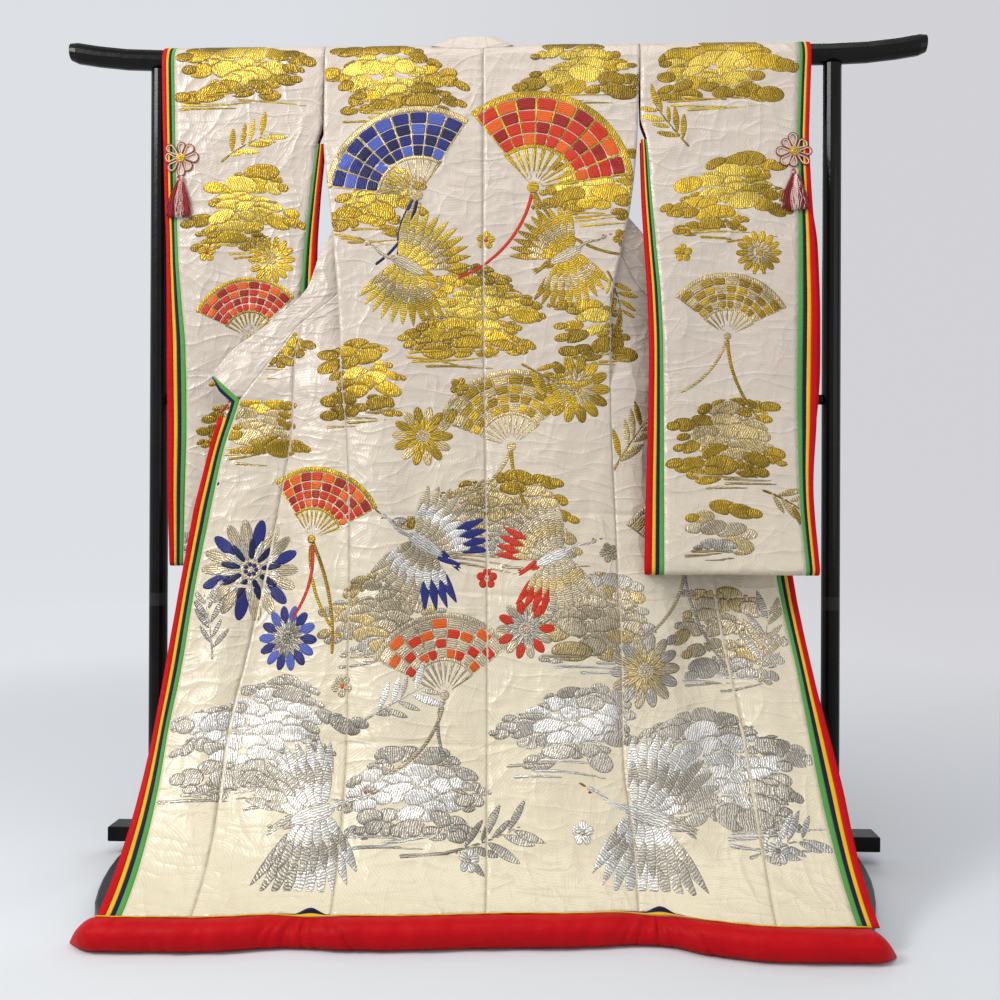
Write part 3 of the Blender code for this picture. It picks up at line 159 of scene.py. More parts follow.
sleeveDepths = {
    "height":      (0.60, 0.90, 1.10, 1.30, 1.474, 1.55, 1.645),
    "left_front":  (-0.034, -0.034, -0.034, -0.033, -0.0325, -0.031, -0.030),
    "left_rear":   (-0.0175, -0.0175, -0.0170, -0.0165, -0.0125, 0.005, 0.030),
    "right_front": (-0.197, -0.141, -0.1050, -0.074, -0.046, -0.0375, -0.030),
    "right_rear":  (-0.173, -0.119, -0.0830, -0.051, -0.0185, 0.003, 0.030),
}
sleeveFold = {"left": -0.51, "right": 0.46, "width": 0.19, "depth": 0.0025, "top": 1.55,
              "fade": 0.35, "low": 0.61, "postGap": 0.011, "liningShow": 0.009}
sleeveCreases = {
    "left": ((-0.64, 1.52, -0.40, 1.50, 0.007, -0.0011), (-0.64, 1.22, -0.38, 1.235, 0.006, -0.0012),
             (-0.63, 0.93, -0.39, 0.945, 0.006, -0.0012), (-0.62, 1.40, -0.52, 1.16, 0.014, 0.0016),
             (-0.44, 1.45, -0.47, 1.10, 0.014, -0.0015), (-0.58, 0.86, -0.60, 0.66, 0.012, 0.0015)),
    "right": ((0.32, 1.50, 0.61, 1.515, 0.007, -0.0012), (0.33, 1.20, 0.61, 1.19, 0.006, -0.0013),
              (0.34, 0.90, 0.60, 0.91, 0.006, -0.0012), (0.40, 1.44, 0.50, 1.18, 0.014, 0.0018),
              (0.58, 1.42, 0.55, 1.05, 0.014, -0.0016), (0.38, 0.86, 0.44, 0.66, 0.012, 0.0018),
              (0.33, 1.42, 0.42, 1.52, 0.010, 0.0022), (0.52, 0.70, 0.59, 0.63, 0.009, -0.0014)),
}
# linings that show beyond an edge: share of the whole width from, to, and the wall
bands = (("green", 0.00, 0.26, 0.0017), ("navy", 0.26, 0.46, 0.0017),
         ("yellow", 0.46, 0.65, 0.0019), ("red", 0.65, 1.00, 0.0022))
sign = {"left": -1.0, "right": 1.0}
fullTurn = 2 * math.pi
pressedFolds = (0.710, 0.562, 0.292)    # heights where the folded robe was pressed


# reading the tables, for many places at once
def ease(t):
    t = np.clip(t, 0.0, 1.0)
    return t * t * (3.0 - 2.0 * t)


tangents = {}


# a smooth line through a table's column that never overshoots its values
def curve(table, column, at, key="height"):
    found = tangents.get((id(table), column))
    if found is None:
        keys, values = np.array(table[key], float), np.array(table[column], float)
        steps = np.diff(values) / np.diff(keys)
        left, right = np.r_[steps[0], steps], np.r_[steps, steps[-1]]
        both = left * right > 0
        slope = np.where(both, 2 * left * right / np.where(both, left + right, 1.0), 0.0)
        found = tangents[(id(table), column)] = (keys, values, slope)
    keys, values, slope = found
    at = np.clip(at, keys[0], keys[-1])
    i = np.clip(np.searchsorted(keys, at, side="right") - 1, 0, len(keys) - 2)
    step = keys[i + 1] - keys[i]
    t = (at - keys[i]) / step
    start, end, rise = slope[i] * step, slope[i + 1] * step, values[i + 1] - values[i]
    return values[i] + t * (start + t * (3 * rise - 2 * start - end + t * (start + end - 2 * rise)))


def lineCreases(lines, x, z):
    total = 0.0
    for x0, z0, x1, z1, width, depth in lines:
        length = math.hypot(x1 - x0, z1 - z0)
        alongX, alongZ = (x1 - x0) / length, (z1 - z0) / length
        along = ((x - x0) * alongX + (z - z0) * alongZ) / length
        wander = 0.004 * np.sin(along * 9.0 + x0 * 40) + 0.0015 * np.sin(along * 31.0 + z0 * 50)
        off = (x - x0) * alongZ - (z - z0) * alongX + wander
        uneven = 0.75 + 0.25 * np.sin(along * 14.0 + z0 * 30)
        fade = ease(along / 0.15) * ease((1 - along) / 0.15)
        total = total + depth * uneven * fade * np.exp(-(off / width) ** 2)
    return total


def ripple(x, z):
    soft = np.sin(x * 31 + 2.1 * np.sin(z * 7.3)) * np.sin(z * 23 + 1.7 * np.sin(x * 11.0))
    fine = np.sin(x * 83 + 1.3 * np.sin(z * 29)) * np.sin(z * 61 + 2.0 * np.sin(x * 37 + 1.0))
    return 0.0007 * soft + 0.00022 * fine


# the hanging cloth follows a catenary; this is its parameter at a height
def steepness(z):
    rise = np.maximum(z - hang["hemHeight"], -0.02)
    return np.arccosh(math.cosh(hang["start"]) + rise / hang["scale"])


def faceAt(x, z):
    x, z = np.broadcast_arrays(np.asarray(x, float), np.asarray(z, float))
    t = steepness(z)
    y = hang["hemY"] + hang["scale"] * (t - hang["start"])
    y = y + curve(hemTrail, "back", x, "across") * np.exp(-(z - hang["hemHeight"]) / hemTrailRise)
    for side in sign:
        own = (x < 0) if side == "left" else (x >= 0)
        past = np.abs(x) - np.abs(curve(seamLines, side + "_side", z))
        y = y + np.where(own, curve(wingBack, side, z) * ease(past / wingRamp), 0.0)
    out = lineCreases(creases, x, z) + ripple(x, z) * ease((1.63 - z) / 0.1)
    for footX, headX, half, depth, foot, head in bigFolds:
        up = (z - foot) / (head - foot)
        strength = ease(up / 0.18) * ease((1.0 - up) / 0.35)
        out = out + depth * strength * np.exp(-((x - footX - (headX - footX) * up) / half) ** 2)
    for line in ("left_side", "centre", "right_side", "left_okumi", "right_okumi"):
        top = okumiTop if "okumi" in line else 1.64
        off = x - curve(seamLines, line, z)
        pucker = 1 + 0.35 * np.sin(z * 190 + 3 * np.sin(z * 17))
        out = out - 0.0013 * pucker * np.exp(-(off / 0.0045) ** 2) * ease((top - z) / 0.05)
    return np.stack([x, y - out * np.tanh(t), z + out / np.cosh(t)], -1)


barArc = math.pi * math.sqrt((hang["foldHalf"] ** 2 + hang["foldRise"] ** 2) / 2)


def overBar(x, angle):
    x, angle = np.broadcast_arrays(np.asarray(x, float), np.asarray(angle, float))
    return np.stack([x, -hang["foldHalf"] * np.cos(angle),
                     hang["shoulder"] + hang["foldRise"] * np.sin(angle)], -1)


# s runs up the back and on over the bar
def backAt(x, s):
    x, s = np.broadcast_arrays(np.asarray(x, float), np.asarray(s, float))
    low = faceAt(x, np.minimum(s, hang["shoulder"]))
    high = overBar(x, np.clip((s - hang["shoulder"]) / barArc, 0, 1) * math.pi)
    return np.where((s > hang["shoulder"])[..., None], high, low)


rearFoot = float(faceAt(0.0, hang["sideTop"])[1]) + 2 * 0.002 + 3 * seamGap


def rearDepth(z):
    up = (z - hang["sideTop"]) / (hang["shoulder"] - hang["sideTop"])
    return rearFoot + (hang["foldHalf"] - rearFoot) * up


def liftAt(z):
    return ease((z - pleat["top"] + pleat["ramp"]) / pleat["ramp"]) * pleat["lift"]


def legAt(x, z):
    near = faceAt(x, z)
    y = near[..., 1] + liftAt(z)
    y = np.where(z > hang["sideTop"], np.maximum(y, rearDepth(z)), y)
    return np.stack([near[..., 0], y, near[..., 2]], -1)


def turnGap(side, z):
    depth = np.where(z > pleat["top"], curve(pleatDepth, side, z), 0.0)
    gap = pleat["halfGap"] * ease(depth / 0.05) * ease((hang["shoulder"] - z) / 0.06)
    return gap * (1 - pleat["tight"] * ease((z - pleat["tightFrom"]) / 0.10)), depth


def frontEdge(side, z):
    notch = curve(frontEdges, side + "_cloth", notchHeight)
    tip = sign[side] * curve(collarLine, side, tipHeight)
    share = (z - notchHeight) / (tipHeight - notchHeight)
    return np.where(z > tipHeight, sign[side] * curve(collarLine, side, z),
                    np.where(z > notchHeight, notch + (tip - notch) * share,
                             curve(frontEdges, side + "_cloth", z)))


rowStore = {}


# one level of a turned front: from the side seam inwards, round the pleat and out to the edge
def frontRow(side, z):
    key = (side, round(z, 6))
    if key in rowStore:
        return rowStore[key]
    s = sign[side]
    seam = float(curve(seamLines, side + "_side", z))
    edge = float(frontEdge(side, z))
    gap, depth = (float(v) for v in turnGap(side, z))
    turn = seam - s * depth
    if z > pleat["rollTop"]:
        turn, gap = edge, 0.0
    elif z > pleat["rollHalf"]:
        turn = edge + s * gap
    inner = legAt(np.linspace(seam + s * seamGap / 2, turn, 25), z)
    foot = inner[-1]
    turns = [inner]
    if gap > 1e-5:
        last = math.pi if z <= pleat["rollHalf"] else math.pi / 2
        angles = np.linspace(0, last, 11)[1:]
        turns.append(foot + gap * np.stack([-s * np.sin(angles), 1 - np.cos(angles), angles * 0], -1))
    before = sum(len(t) for t in turns)
    if z < pleat["rollHalf"]:
        turns.append(legAt(np.linspace(turn, edge, 61)[1:], z) + np.array([0, 2 * gap, 0]))
    points = np.concatenate(turns)
    steps = np.r_[0.0, np.cumsum(np.linalg.norm(np.diff(points, axis=0), axis=1))]
    full = steps[-1]
    marks = (full - steps[before - 1], full - steps[24])
    rowStore[key] = (points, steps, marks)
    return rowStore[key]


# points on that level, by their distance in from the front edge
def onFront(side, z, insides):
    points, steps, marks = frontRow(side, z)
    along = steps[-1] - np.asarray(insides, float)
    inside = np.clip(along, 0, steps[-1])
    found = np.stack([np.interp(inside, steps, points[:, k]) for k in range(3)], -1)
    run = points[-1] - points[-3]
    run = np.array([run[0], run[1], 0.0]) / math.hypot(run[0], run[1])
    return found + run * np.maximum(along - steps[-1], 0)[..., None]


def frontLength(side, z):
    return frontRow(side, z)[1][-1]


def collarWidth(z):
    share = np.clip((z - notchHeight) / (tipHeight - notchHeight), 0, 1)
    return float(np.where(z > tipHeight, curve(collarLine, "width", z),
                          curve(collarLine, "width", tipHeight) * share))


def bodyInset(side, z):
    if z > okumiTop:
        return collarWidth(z) + (5 * seamGap if z > 1.42 else 0.0)
    okumi = float(curve(seamLines, side + "_okumi", z))
    return max(abs(float(onFront(side, z, 0.0)[0]) - okumi), collarWidth(z) + 0.002)


# heights an even step apart along the cloth
def clothHeights(low, high, step):
    t0, t1 = steepness(np.array([low, high]))
    lengths = hang["scale"] * (np.sinh([t0, t1]) - math.sinh(hang["start"]))
    count = max(2, round((lengths[1] - lengths[0]) / step))
    s = np.linspace(lengths[0], lengths[1], count + 1)
    t = np.arcsinh(s / hang["scale"] + math.sinh(hang["start"]))
    return hang["hemHeight"] + hang["scale"] * (np.cosh(t) - math.cosh(hang["start"]))


def sleeveX(side, column, z, rear):
    x = curve(sleeveEdges, side + "_" + column, z)
    if not rear:
        return x
    if side == "left":
        inward = ease((hang["shoulder"] - z) / 0.03) * ease((z - 1.25) / 0.15)
        return x + sleeveFold["postGap"] * inward * ease((np.abs(x) - 0.62) / 0.03)
    outward = ease((z - 0.80) / 0.2) * ease((1.40 - z) / 0.15)
    return x + sleeveFold["liningShow"] * outward * ease((x - 0.60) / 0.04)


def sleeveAt(side, x, s, rear=False):
    x, s = np.broadcast_arrays(np.asarray(x, float), np.asarray(s, float))
    z = np.minimum(s, hang["shoulder"])
    fade = ease((sleeveFold["top"] - z) / sleeveFold["fade"])
    turns = (x - sleeveFold[side]) / sleeveFold["width"]
    y = curve(sleeveDepths, side + ("_rear" if rear else "_front"), z)
    y = y + sleeveFold["depth"] * fade * np.cos(fullTurn * turns)
    small = lineCreases(sleeveCreases[side], x, z) * 0.8 + ripple(x + 3, z) * 0.8 * ease((1.63 - z) / 0.1)
    out = np.clip(small, -0.0022, 0.0022)
    y = y + out if rear else y - out
    low = np.stack([x, y, z], -1)
    angle = np.clip((s - hang["shoulder"]) / barArc, 0, 1) * math.pi
    high = overBar(x, math.pi - angle if rear else angle)
    return np.where((s > hang["shoulder"])[..., None], high, low)


def normalsAt(place, x, s):
    reach = 0.002
    across = place(x + reach, s) - place(x - reach, s)
    upward = place(x, s + reach) - place(x, s - reach)
    found = np.cross(across, upward)
    return found / np.maximum(np.linalg.norm(found, axis=-1, keepdims=True), 1e-12)


# finishes
class Link:
    def __init__(self, finish, socket):
        self.finish = finish
        self.socket = socket

    def maths(self, operation, *others, clamp=False):
        values = {n: v for n, v in enumerate((self,) + others)}
        return self.finish.node("Math", {"operation": operation, "use_clamp": clamp}, values)

    def __add__(self, other):
        return self.maths("ADD", other)

    __radd__ = __add__

    def __mul__(self, other):
        return self.maths("MULTIPLY", other)

    __rmul__ = __mul__

    def __sub__(self, other):
        return self.maths("SUBTRACT", other)

    def __rsub__(self, other):
        return (self * -1.0) + other

    def __truediv__(self, other):
        return self.maths("DIVIDE", other)

    def __pow__(self, other):
        return self.maths("POWER", other)

    def wave(self):
        return self.maths("SINE") * 0.5 + 0.5

    def clamp(self):
        return self.maths("ADD", 0.0, clamp=True)

    def step(self, low, high):
        return ((self - low) / (high - low)).clamp()


class Finish:
    def __init__(self, name, **sockets):
        self.material = bpy.data.materials.new(name)
        self.material.use_nodes = True
        self.tree = self.material.node_tree
        self.shader = self.tree.nodes["Principled BSDF"]
        for key, value in sockets.items():
            self.set(self.shader, key.replace("_", " "), value)

    def set(self, node, key, value):
        socket = node.inputs[key]
        if isinstance(value, Link):
            self.tree.links.new(value.socket, socket)
        elif isinstance(value, tuple) and socket.type == "RGBA":
            socket.default_value = (*value[:3], 1.0)
        else:
            socket.default_value = value

    def node(self, kind, settings=None, values=None, output=0):
        made = self.tree.nodes.new("ShaderNode" + kind)
        for key, value in (settings or {}).items():
            setattr(made, key, value)
        for key, value in (values or {}).items():
            self.set(made, key, value)
        if isinstance(output, tuple):
            return [Link(self, made.outputs[name]) for name in output]
        return Link(self, made.outputs[output])

    def uv(self, name):
        return self.node("UVMap", {"uv_map": name})

    def place(self):
        return self.node("TexCoord", {}, {}, "Object")

    def split(self, vector):
        return self.node("SeparateXYZ", {}, {0: vector}, ("X", "Y", "Z"))

    def join(self, x, y, z=0.0):
        return self.node("CombineXYZ", {}, {0: x, 1: y, 2: z})

    def noise(self, vector, scale, detail=3.0, rough=0.55):
        return self.node("TexNoise", {}, {"Vector": vector, "Scale": scale, "Detail": detail,
                                         "Roughness": rough}, 0)

    def value(self, name):
        return self.node("Attribute", {"attribute_name": name}, {}, "Fac")

    def colour(self, name):
        return self.node("Attribute", {"attribute_name": name}, {}, "Color")

    def mix(self, share, first, second, blend="MIX"):
        return self.node("Mix", {"data_type": "RGBA", "blend_type": blend},
                         {0: share, 6: first, 7: second}, 2)

    def bump(self, height, distance):
        return self.node("Bump", {}, {"Strength": 1.0, "Distance": distance, "Height": height})

    def finish(self, **links):
        for key, value in links.items():
            self.set(self.shader, key.replace("_", " "), value)
        return self.material


# ivory figured satin: fine arcs in patches, pinker at the top and creamier low down; the top is also painted
# darker than the low part, as painted shade
satin = {"upper": (0.505, 0.440, 0.374), "lower": (0.680, 0.610, 0.440), "figure": (0.84, 0.79, 0.72),
         "patches": 13.0, "pitch": 0.0058, "crumple": 0.0066,
         "folds": (((11.0, 5.0, 1.0), 0.09), ((7.0, 24.0, 1.0), 0.12), ((31.0, 17.0, 1.0), 0.13))}
threadPitch, cordPitch = 0.0042, 0.0036    # one couched thread, one turn of a cord's ply


def figuredSatin(name):
    f = Finish(name, Sheen_Weight=0.06, Sheen_Roughness=0.35, Specular_IOR_Level=0.6)
    cloth = f.uv("cloth")
    scaled = f.node("VectorMath", {"operation": "SCALE"}, {0: cloth, 3: satin["patches"]})
    patch, centre = f.node("TexVoronoi", {"voronoi_dimensions": "2D"},
                           {"Vector": scaled, "Scale": 1.0, "Randomness": 0.9}, ("Color", "Position"))
    share, reach, _ = f.split(patch)
    aside = f.join(*((share * 12.6).maths(way) * (reach + 0.9) for way in ("COSINE", "SINE")))
    middle = f.node("VectorMath", {"operation": "ADD"}, {0: centre, 1: aside})
    away = f.node("VectorMath", {"operation": "DISTANCE"}, {0: scaled, 1: middle}, "Value")
    rings = (away * (fullTurn / (satin["pitch"] * satin["patches"]))).wave()
    broken = f.noise(cloth, 210.0, 1.0).step(0.30, 0.50)
    figure = rings.step(0.25, 0.75) * broken
    high = f.split(f.place())[2]
    soft = f.noise(cloth, 3.5)
    # painted shade: the upper colour is darker than the lower as well as pinker
    ground = f.mix((high + soft * 0.5).step(0.45, 1.25), satin["lower"], satin["upper"])
    lively = f.mix(figure * 0.28, ground, satin["figure"], "MULTIPLY")
    cloudy = f.mix(f.noise(cloth, 11.0).step(0.35, 0.75) * 0.12, lively, (0.42, 0.33, 0.26))
    bent = f.node("VectorMath", {"operation": "MULTIPLY_ADD"},
                  {0: f.node("TexNoise", {}, {"Vector": cloth, "Scale": 5.0, "Detail": 2.0}, 1),
                   1: (0.10, 0.10, 0.0), 2: cloth})
    folds = []
    for stretch, width in satin["folds"]:
        stretched = f.node("VectorMath", {"operation": "MULTIPLY"}, {0: bent, 1: stretch})
        folds.append(1 - (f.noise(stretched, 1.0, 1.0) - 0.5).maths("ABSOLUTE").step(0.0, width))
    pressed = folds[0] ** 2.0 * 0.45 + folds[1] ** 2.0 * 0.40 + folds[2] ** 2.0 * 0.20
    gentle = f.noise(cloth, 16.0, 2.0)
    weave = f.noise(cloth, 1400.0, 1.0)
    height = figure * 0.018 + pressed * 0.42 + gentle * 0.80 + weave * 0.012
    return f.finish(Base_Color=cloudy, Roughness=figure * 0.12 + 0.27 + soft * 0.06,
                    Normal=f.bump(height, satin["crumple"]))


def plainSilk(name, colour, rough=0.48, deep=0.75):
    f = Finish(name, Specular_IOR_Level=0.10)
    place = f.place()
    cloudy = f.noise(place, 14.0)
    weave = f.noise(place, 900.0, 1.0)
    pulled = f.noise(f.node("VectorMath", {"operation": "MULTIPLY"}, {0: place, 1: (30.0, 30.0, 85.0)}), 1.0)
    dark = tuple(c * deep for c in colour)
    shade = f.mix((cloudy * 0.6 + weave * 0.4).step(0.3, 0.7), dark, colour)
    return f.finish(Base_Color=shade, Roughness=rough + weave * 0.12,
                    Normal=f.bump(pulled * 0.9 + weave * 0.06, 0.0016))


def stitchLines(f):
    stitch = f.uv("stitch")
    across, along, _ = f.split(stitch)
    wobble = f.noise(stitch, 45.0, 2.0)
    curled = f.noise(stitch, 150.0, 1.0)
    thread = ((across + wobble * 0.006 + curled * 0.0052) * (fullTurn / threadPitch)).wave()
    fibres = f.noise(f.join(across * 520.0, along * 34.0), 1.0, 2.0)
    streaks = f.noise(f.join(across * 150.0, along * 12.0), 1.0, 3.0)
    rim = 1 - f.value("rim").step(0.0001, 0.0011)
    return thread, fibres, streaks, rim


def metalThread(name):
    f = Finish(name, Specular_IOR_Level=0.5)
    thread, fibres, streaks, rim = stitchLines(f)
    tint = f.colour("thread")
    deep = f.mix(1.0, tint, (0.42, 0.35, 0.24), "MULTIPLY")
    shade = f.mix((streaks * 0.40 + fibres * 0.15 + thread * 0.45).step(0.22, 0.66), deep, tint)
    shade = f.mix(rim * 0.50, shade, f.mix(1.0, tint, (0.30, 0.23, 0.14), "MULTIPLY"))
    height = thread * 0.34 + fibres * 0.16 + streaks * 0.45
    return f.finish(Base_Color=shade, Metallic=0.72 - rim * 0.45, Roughness=fibres * 0.22 + 0.29,
                    Normal=f.bump(height, 0.0019))


def flossThread(name):
    f = Finish(name, Specular_IOR_Level=0.28, Sheen_Weight=0.03, Sheen_Roughness=0.3)
    thread, fibres, streaks, rim = stitchLines(f)
    tint = f.colour("thread")
    deep = f.mix(1.0, tint, (0.62, 0.58, 0.60), "MULTIPLY")
    shade = f.mix((streaks * 0.5 + thread * 0.5).step(0.25, 0.7), deep, tint)
    shade = f.mix(rim * 0.55, shade, f.mix(1.0, tint, (0.35, 0.28, 0.25), "MULTIPLY"))
    return f.finish(Base_Color=shade, Roughness=fibres * 0.2 + 0.34,
                    Normal=f.bump(thread * 0.25 + streaks * 0.5, 0.0016))


def lacquer(name):
    f = Finish(name, Specular_IOR_Level=0.10, Coat_Roughness=0.14)
    place = f.place()
    worn = f.noise(place, 8.0, 5.0, 0.6)
    dust = f.noise(place, 240.0, 2.0)
    shade = f.mix(worn.step(0.45, 0.85), (0.0030, 0.0028, 0.0030), (0.010, 0.009, 0.009))
    shade = f.mix(dust.step(0.72, 0.86) * 0.20, shade, (0.04, 0.037, 0.034))
    high = f.split(place)[2]
    joint = high.step(0.5160, 0.5175) * (1 - high.step(0.5430, 0.5445))    # the ring on each post
    shade = f.mix(joint * 0.16, shade, (0.10, 0.098, 0.095))
    return f.finish(Base_Color=shade,
                    Roughness=worn * 0.16 + 0.24 + dust * 0.05 - high.step(0.2, 0.9) * 0.04,
                    Coat_Weight=(0.16 - worn.step(0.5, 1.0) * 0.1) * high.step(0.2, 0.9),
                    Normal=f.bump(f.noise(place, 70.0, 2.0), 0.0006))


def twistedCord(name):
    f = Finish(name, Specular_IOR_Level=0.25, Sheen_Weight=0.03, Sheen_Roughness=0.4)
    along, around, _ = f.split(f.uv("cord"))
    ply = ((along * (1 / cordPitch) + around * 2) * fullTurn).wave()
    hair = f.noise(f.join(along * 900.0, around * 40.0), 1.0, 2.0)
    tint = f.colour("thread")
    shade = f.mix(ply.step(0.1, 0.6), f.mix(1.0, tint, (0.60, 0.40, 0.36), "MULTIPLY"), tint)
    shade = f.mix(hair.step(0.3, 0.8) * 0.06, shade, (0.95, 0.90, 0.86))
    return f.finish(Base_Color=shade, Roughness=0.55 + hair * 0.2,
                    Normal=f.bump(ply * 0.8 + hair * 0.3, 0.0006))


def paleGround(name, near, left, right):
    f = Finish(name, Specular_IOR_Level=0.2, Emission_Strength=1.0)
    soft = f.noise(f.place(), 0.7, 2.0)
    east, north, _ = f.split(f.place())
    far = (east ** 2.0 + north ** 2.0).maths("SQRT").step(0.9, 3.6)
    floor = f.mix(soft.step(0.3, 0.7), tuple(c * 0.985 for c in near), near)
    # painted light: the far floor and wall glow by themselves, brighter on the left than on the right
    glow = f.mix(east.step(-2.2, 2.2), left, right)
    f.material.cycles.emission_sampling = "NONE"
    return f.finish(Base_Color=f.mix(far, floor, (0.03, 0.03, 0.03)), Roughness=0.85 + soft * 0.05,
                    Emission_Color=f.mix(far, (0.0, 0.0, 0.0), glow))


silkColours = {"red": (0.475, 0.002, 0.006), "yellow": (0.74, 0.43, 0.012),
               "navy": (0.010, 0.012, 0.045), "green": (0.085, 0.30, 0.060)}
finishes = {
    "satin": figuredSatin("figuredSatin"),
    "lining": plainSilk("redLining", (0.44, 0.002, 0.007), 0.50),
    "metal": metalThread("metalThread"),
    "floss": flossThread("silkFloss"),
    "lacquer": lacquer("blackLacquer"),
    "cord": twistedCord("twistedCord"),
}
for shadeName, shadeColour in silkColours.items():
    finishes[shadeName] = plainSilk(shadeName + "Silk", shadeColour, 0.46, 0.8)
print("finishes made")


# making cloth from rows of points
def gridNormals(points, turned):
    cells = points[:-1, :-1], points[:-1, 1:], points[1:, 1:], points[1:, :-1]
    cross = np.cross(cells[2] - cells[0], cells[3] - cells[1]) * turned
    total = np.zeros_like(points)
    for rows, columns in ((slice(None, -1), slice(None, -1)), (slice(None, -1), slice(1, None)),
                          (slice(1, None), slice(1, None)), (slice(1, None), slice(None, -1))):
        total[rows, columns] += cross
    size = np.linalg.norm(total, axis=-1, keepdims=True)
    return total / np.maximum(size, 1e-12)


def addObject(name, points, faces, materials, faceSlots=None, uvs=None, colours=None, values=None):
    mesh = bpy.data.meshes.new(name)
    points = np.asarray(points, float) + np.array([0, standY, 0])
    mesh.from_pydata(points.tolist(), [], faces)
    for key in materials:
        mesh.materials.append(finishes[key])
    if faceSlots is not None:
        mesh.polygons.foreach_set("material_index", np.asarray(faceSlots, np.int32))
    corners = np.zeros(len(mesh.loops), np.int32)
    mesh.loops.foreach_get("vertex_index", corners)
    for layer, places in (uvs or {}).items():
        made = mesh.uv_layers.new(name=layer)
        made.data.foreach_set("uv", np.asarray(places, np.float32)[corners].ravel())
    if colours is not None:
        made = mesh.attributes.new("thread", "FLOAT_COLOR", "POINT")
        full = np.c_[np.asarray(colours, np.float32), np.ones(len(points), np.float32)]
        made.data.foreach_set("color", full.ravel())
    for layer, numbers in (values or {}).items():
        made = mesh.attributes.new(layer, "FLOAT", "POINT")
        made.data.foreach_set("value", np.asarray(numbers, np.float32))
    mesh.shade_smooth()
    mesh.update()
    thing = bpy.data.objects.new(name, mesh)
    bpy.context.scene.collection.objects.link(thing)
    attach(thing, "root")
    return thing


def labelFor(before, side, after=""):
    return before + side.capitalize() + after


def mend(thing, weld=0.0):
    work = bmesh.new()
    work.from_mesh(thing.data)
    if weld:
        bmesh.ops.remove_doubles(work, verts=work.verts, dist=weld)
    bmesh.ops.recalc_face_normals(work, faces=work.faces)
    work.to_mesh(thing.data)
    work.free()


def shellFaces(rows, columns, closed, keep):
    outer = []
    for i in range(rows if closed else rows - 1):
        below, above = i * columns, ((i + 1) % rows) * columns
        outer += [(below + j, below + j + 1, above + j + 1, above + j) for j in range(columns - 1) if keep[i, j]]
    return outer


# a closed cloth wall from rows of points: its face, its lining and its rims
def clothShell(name, points, wall, materials, turned=1.0, closed=False, keep=None, crown=0.0, twoSlots=True):
    points = np.asarray(points, float)
    rows, columns = points.shape[:2]
    if closed:
        ringed = np.concatenate([points[-2:], points, points[:2]])
        normals = gridNormals(ringed, turned)[2:-2]
    else:
        normals = gridNormals(points, turned)
    if keep is None:
        keep = np.ones((rows, columns - 1), bool)
    after = np.roll(points, -1, axis=0)
    widths = np.linalg.norm(points[:, 1:] - points[:, :-1], axis=-1)
    widthsAfter = np.linalg.norm(after[:, 1:] - after[:, :-1], axis=-1)
    keep = keep & ((widths > 2e-5) | (widthsAfter > 2e-5))
    outer = shellFaces(rows, columns, closed, keep)
    if turned < 0:
        outer = [tuple(reversed(f)) for f in outer]
    size = rows * columns
    faces = outer + [tuple(k + size for k in reversed(f)) for f in outer]
    edges = {}
    for face in outer:
        for a, b in zip(face, face[1:] + face[:1]):
            edges[(a, b)] = True
    rims = [(b, a, a + size, b + size) for a, b in edges if (b, a) not in edges]
    faces += rims
    bulge = 0.0
    if crown:
        share = np.linspace(0, 1, columns)
        bulge = (crown * (1 - (2 * share - 1) ** 2))[None, :, None]
    outerPoints = (points + normals * bulge).reshape(-1, 3)
    innerPoints = (points - normals * wall).reshape(-1, 3)
    across = np.cumsum(np.r_["1", np.zeros((rows, 1)), widths], axis=1)
    lengths = np.linalg.norm(np.diff(points, axis=0), axis=-1)
    best = np.argmax(lengths.sum(0))
    along = np.r_[0.0, np.cumsum(lengths[:, best])]
    uv = np.stack([across * turned, np.broadcast_to(along[:, None], across.shape)], -1).reshape(-1, 2)
    used = np.zeros(2 * size, bool)
    for face in faces:
        used[list(face)] = True
    number = np.cumsum(used) - 1
    faces = [tuple(int(number[k]) for k in f) for f in faces]
    slots = [0] * len(outer) + [1 if twoSlots else 0] * (len(faces) - len(outer))
    everything = np.concatenate([outerPoints, innerPoints])[used]
    return addObject(name, everything, faces, materials, slots,
                     {"cloth": np.concatenate([uv, uv])[used]})


# the body cloth
weaveSteps = {"rows": 0.0084, "neck": 12, "outer": 18, "turn": 8, "inner": 8, "arc": 14}


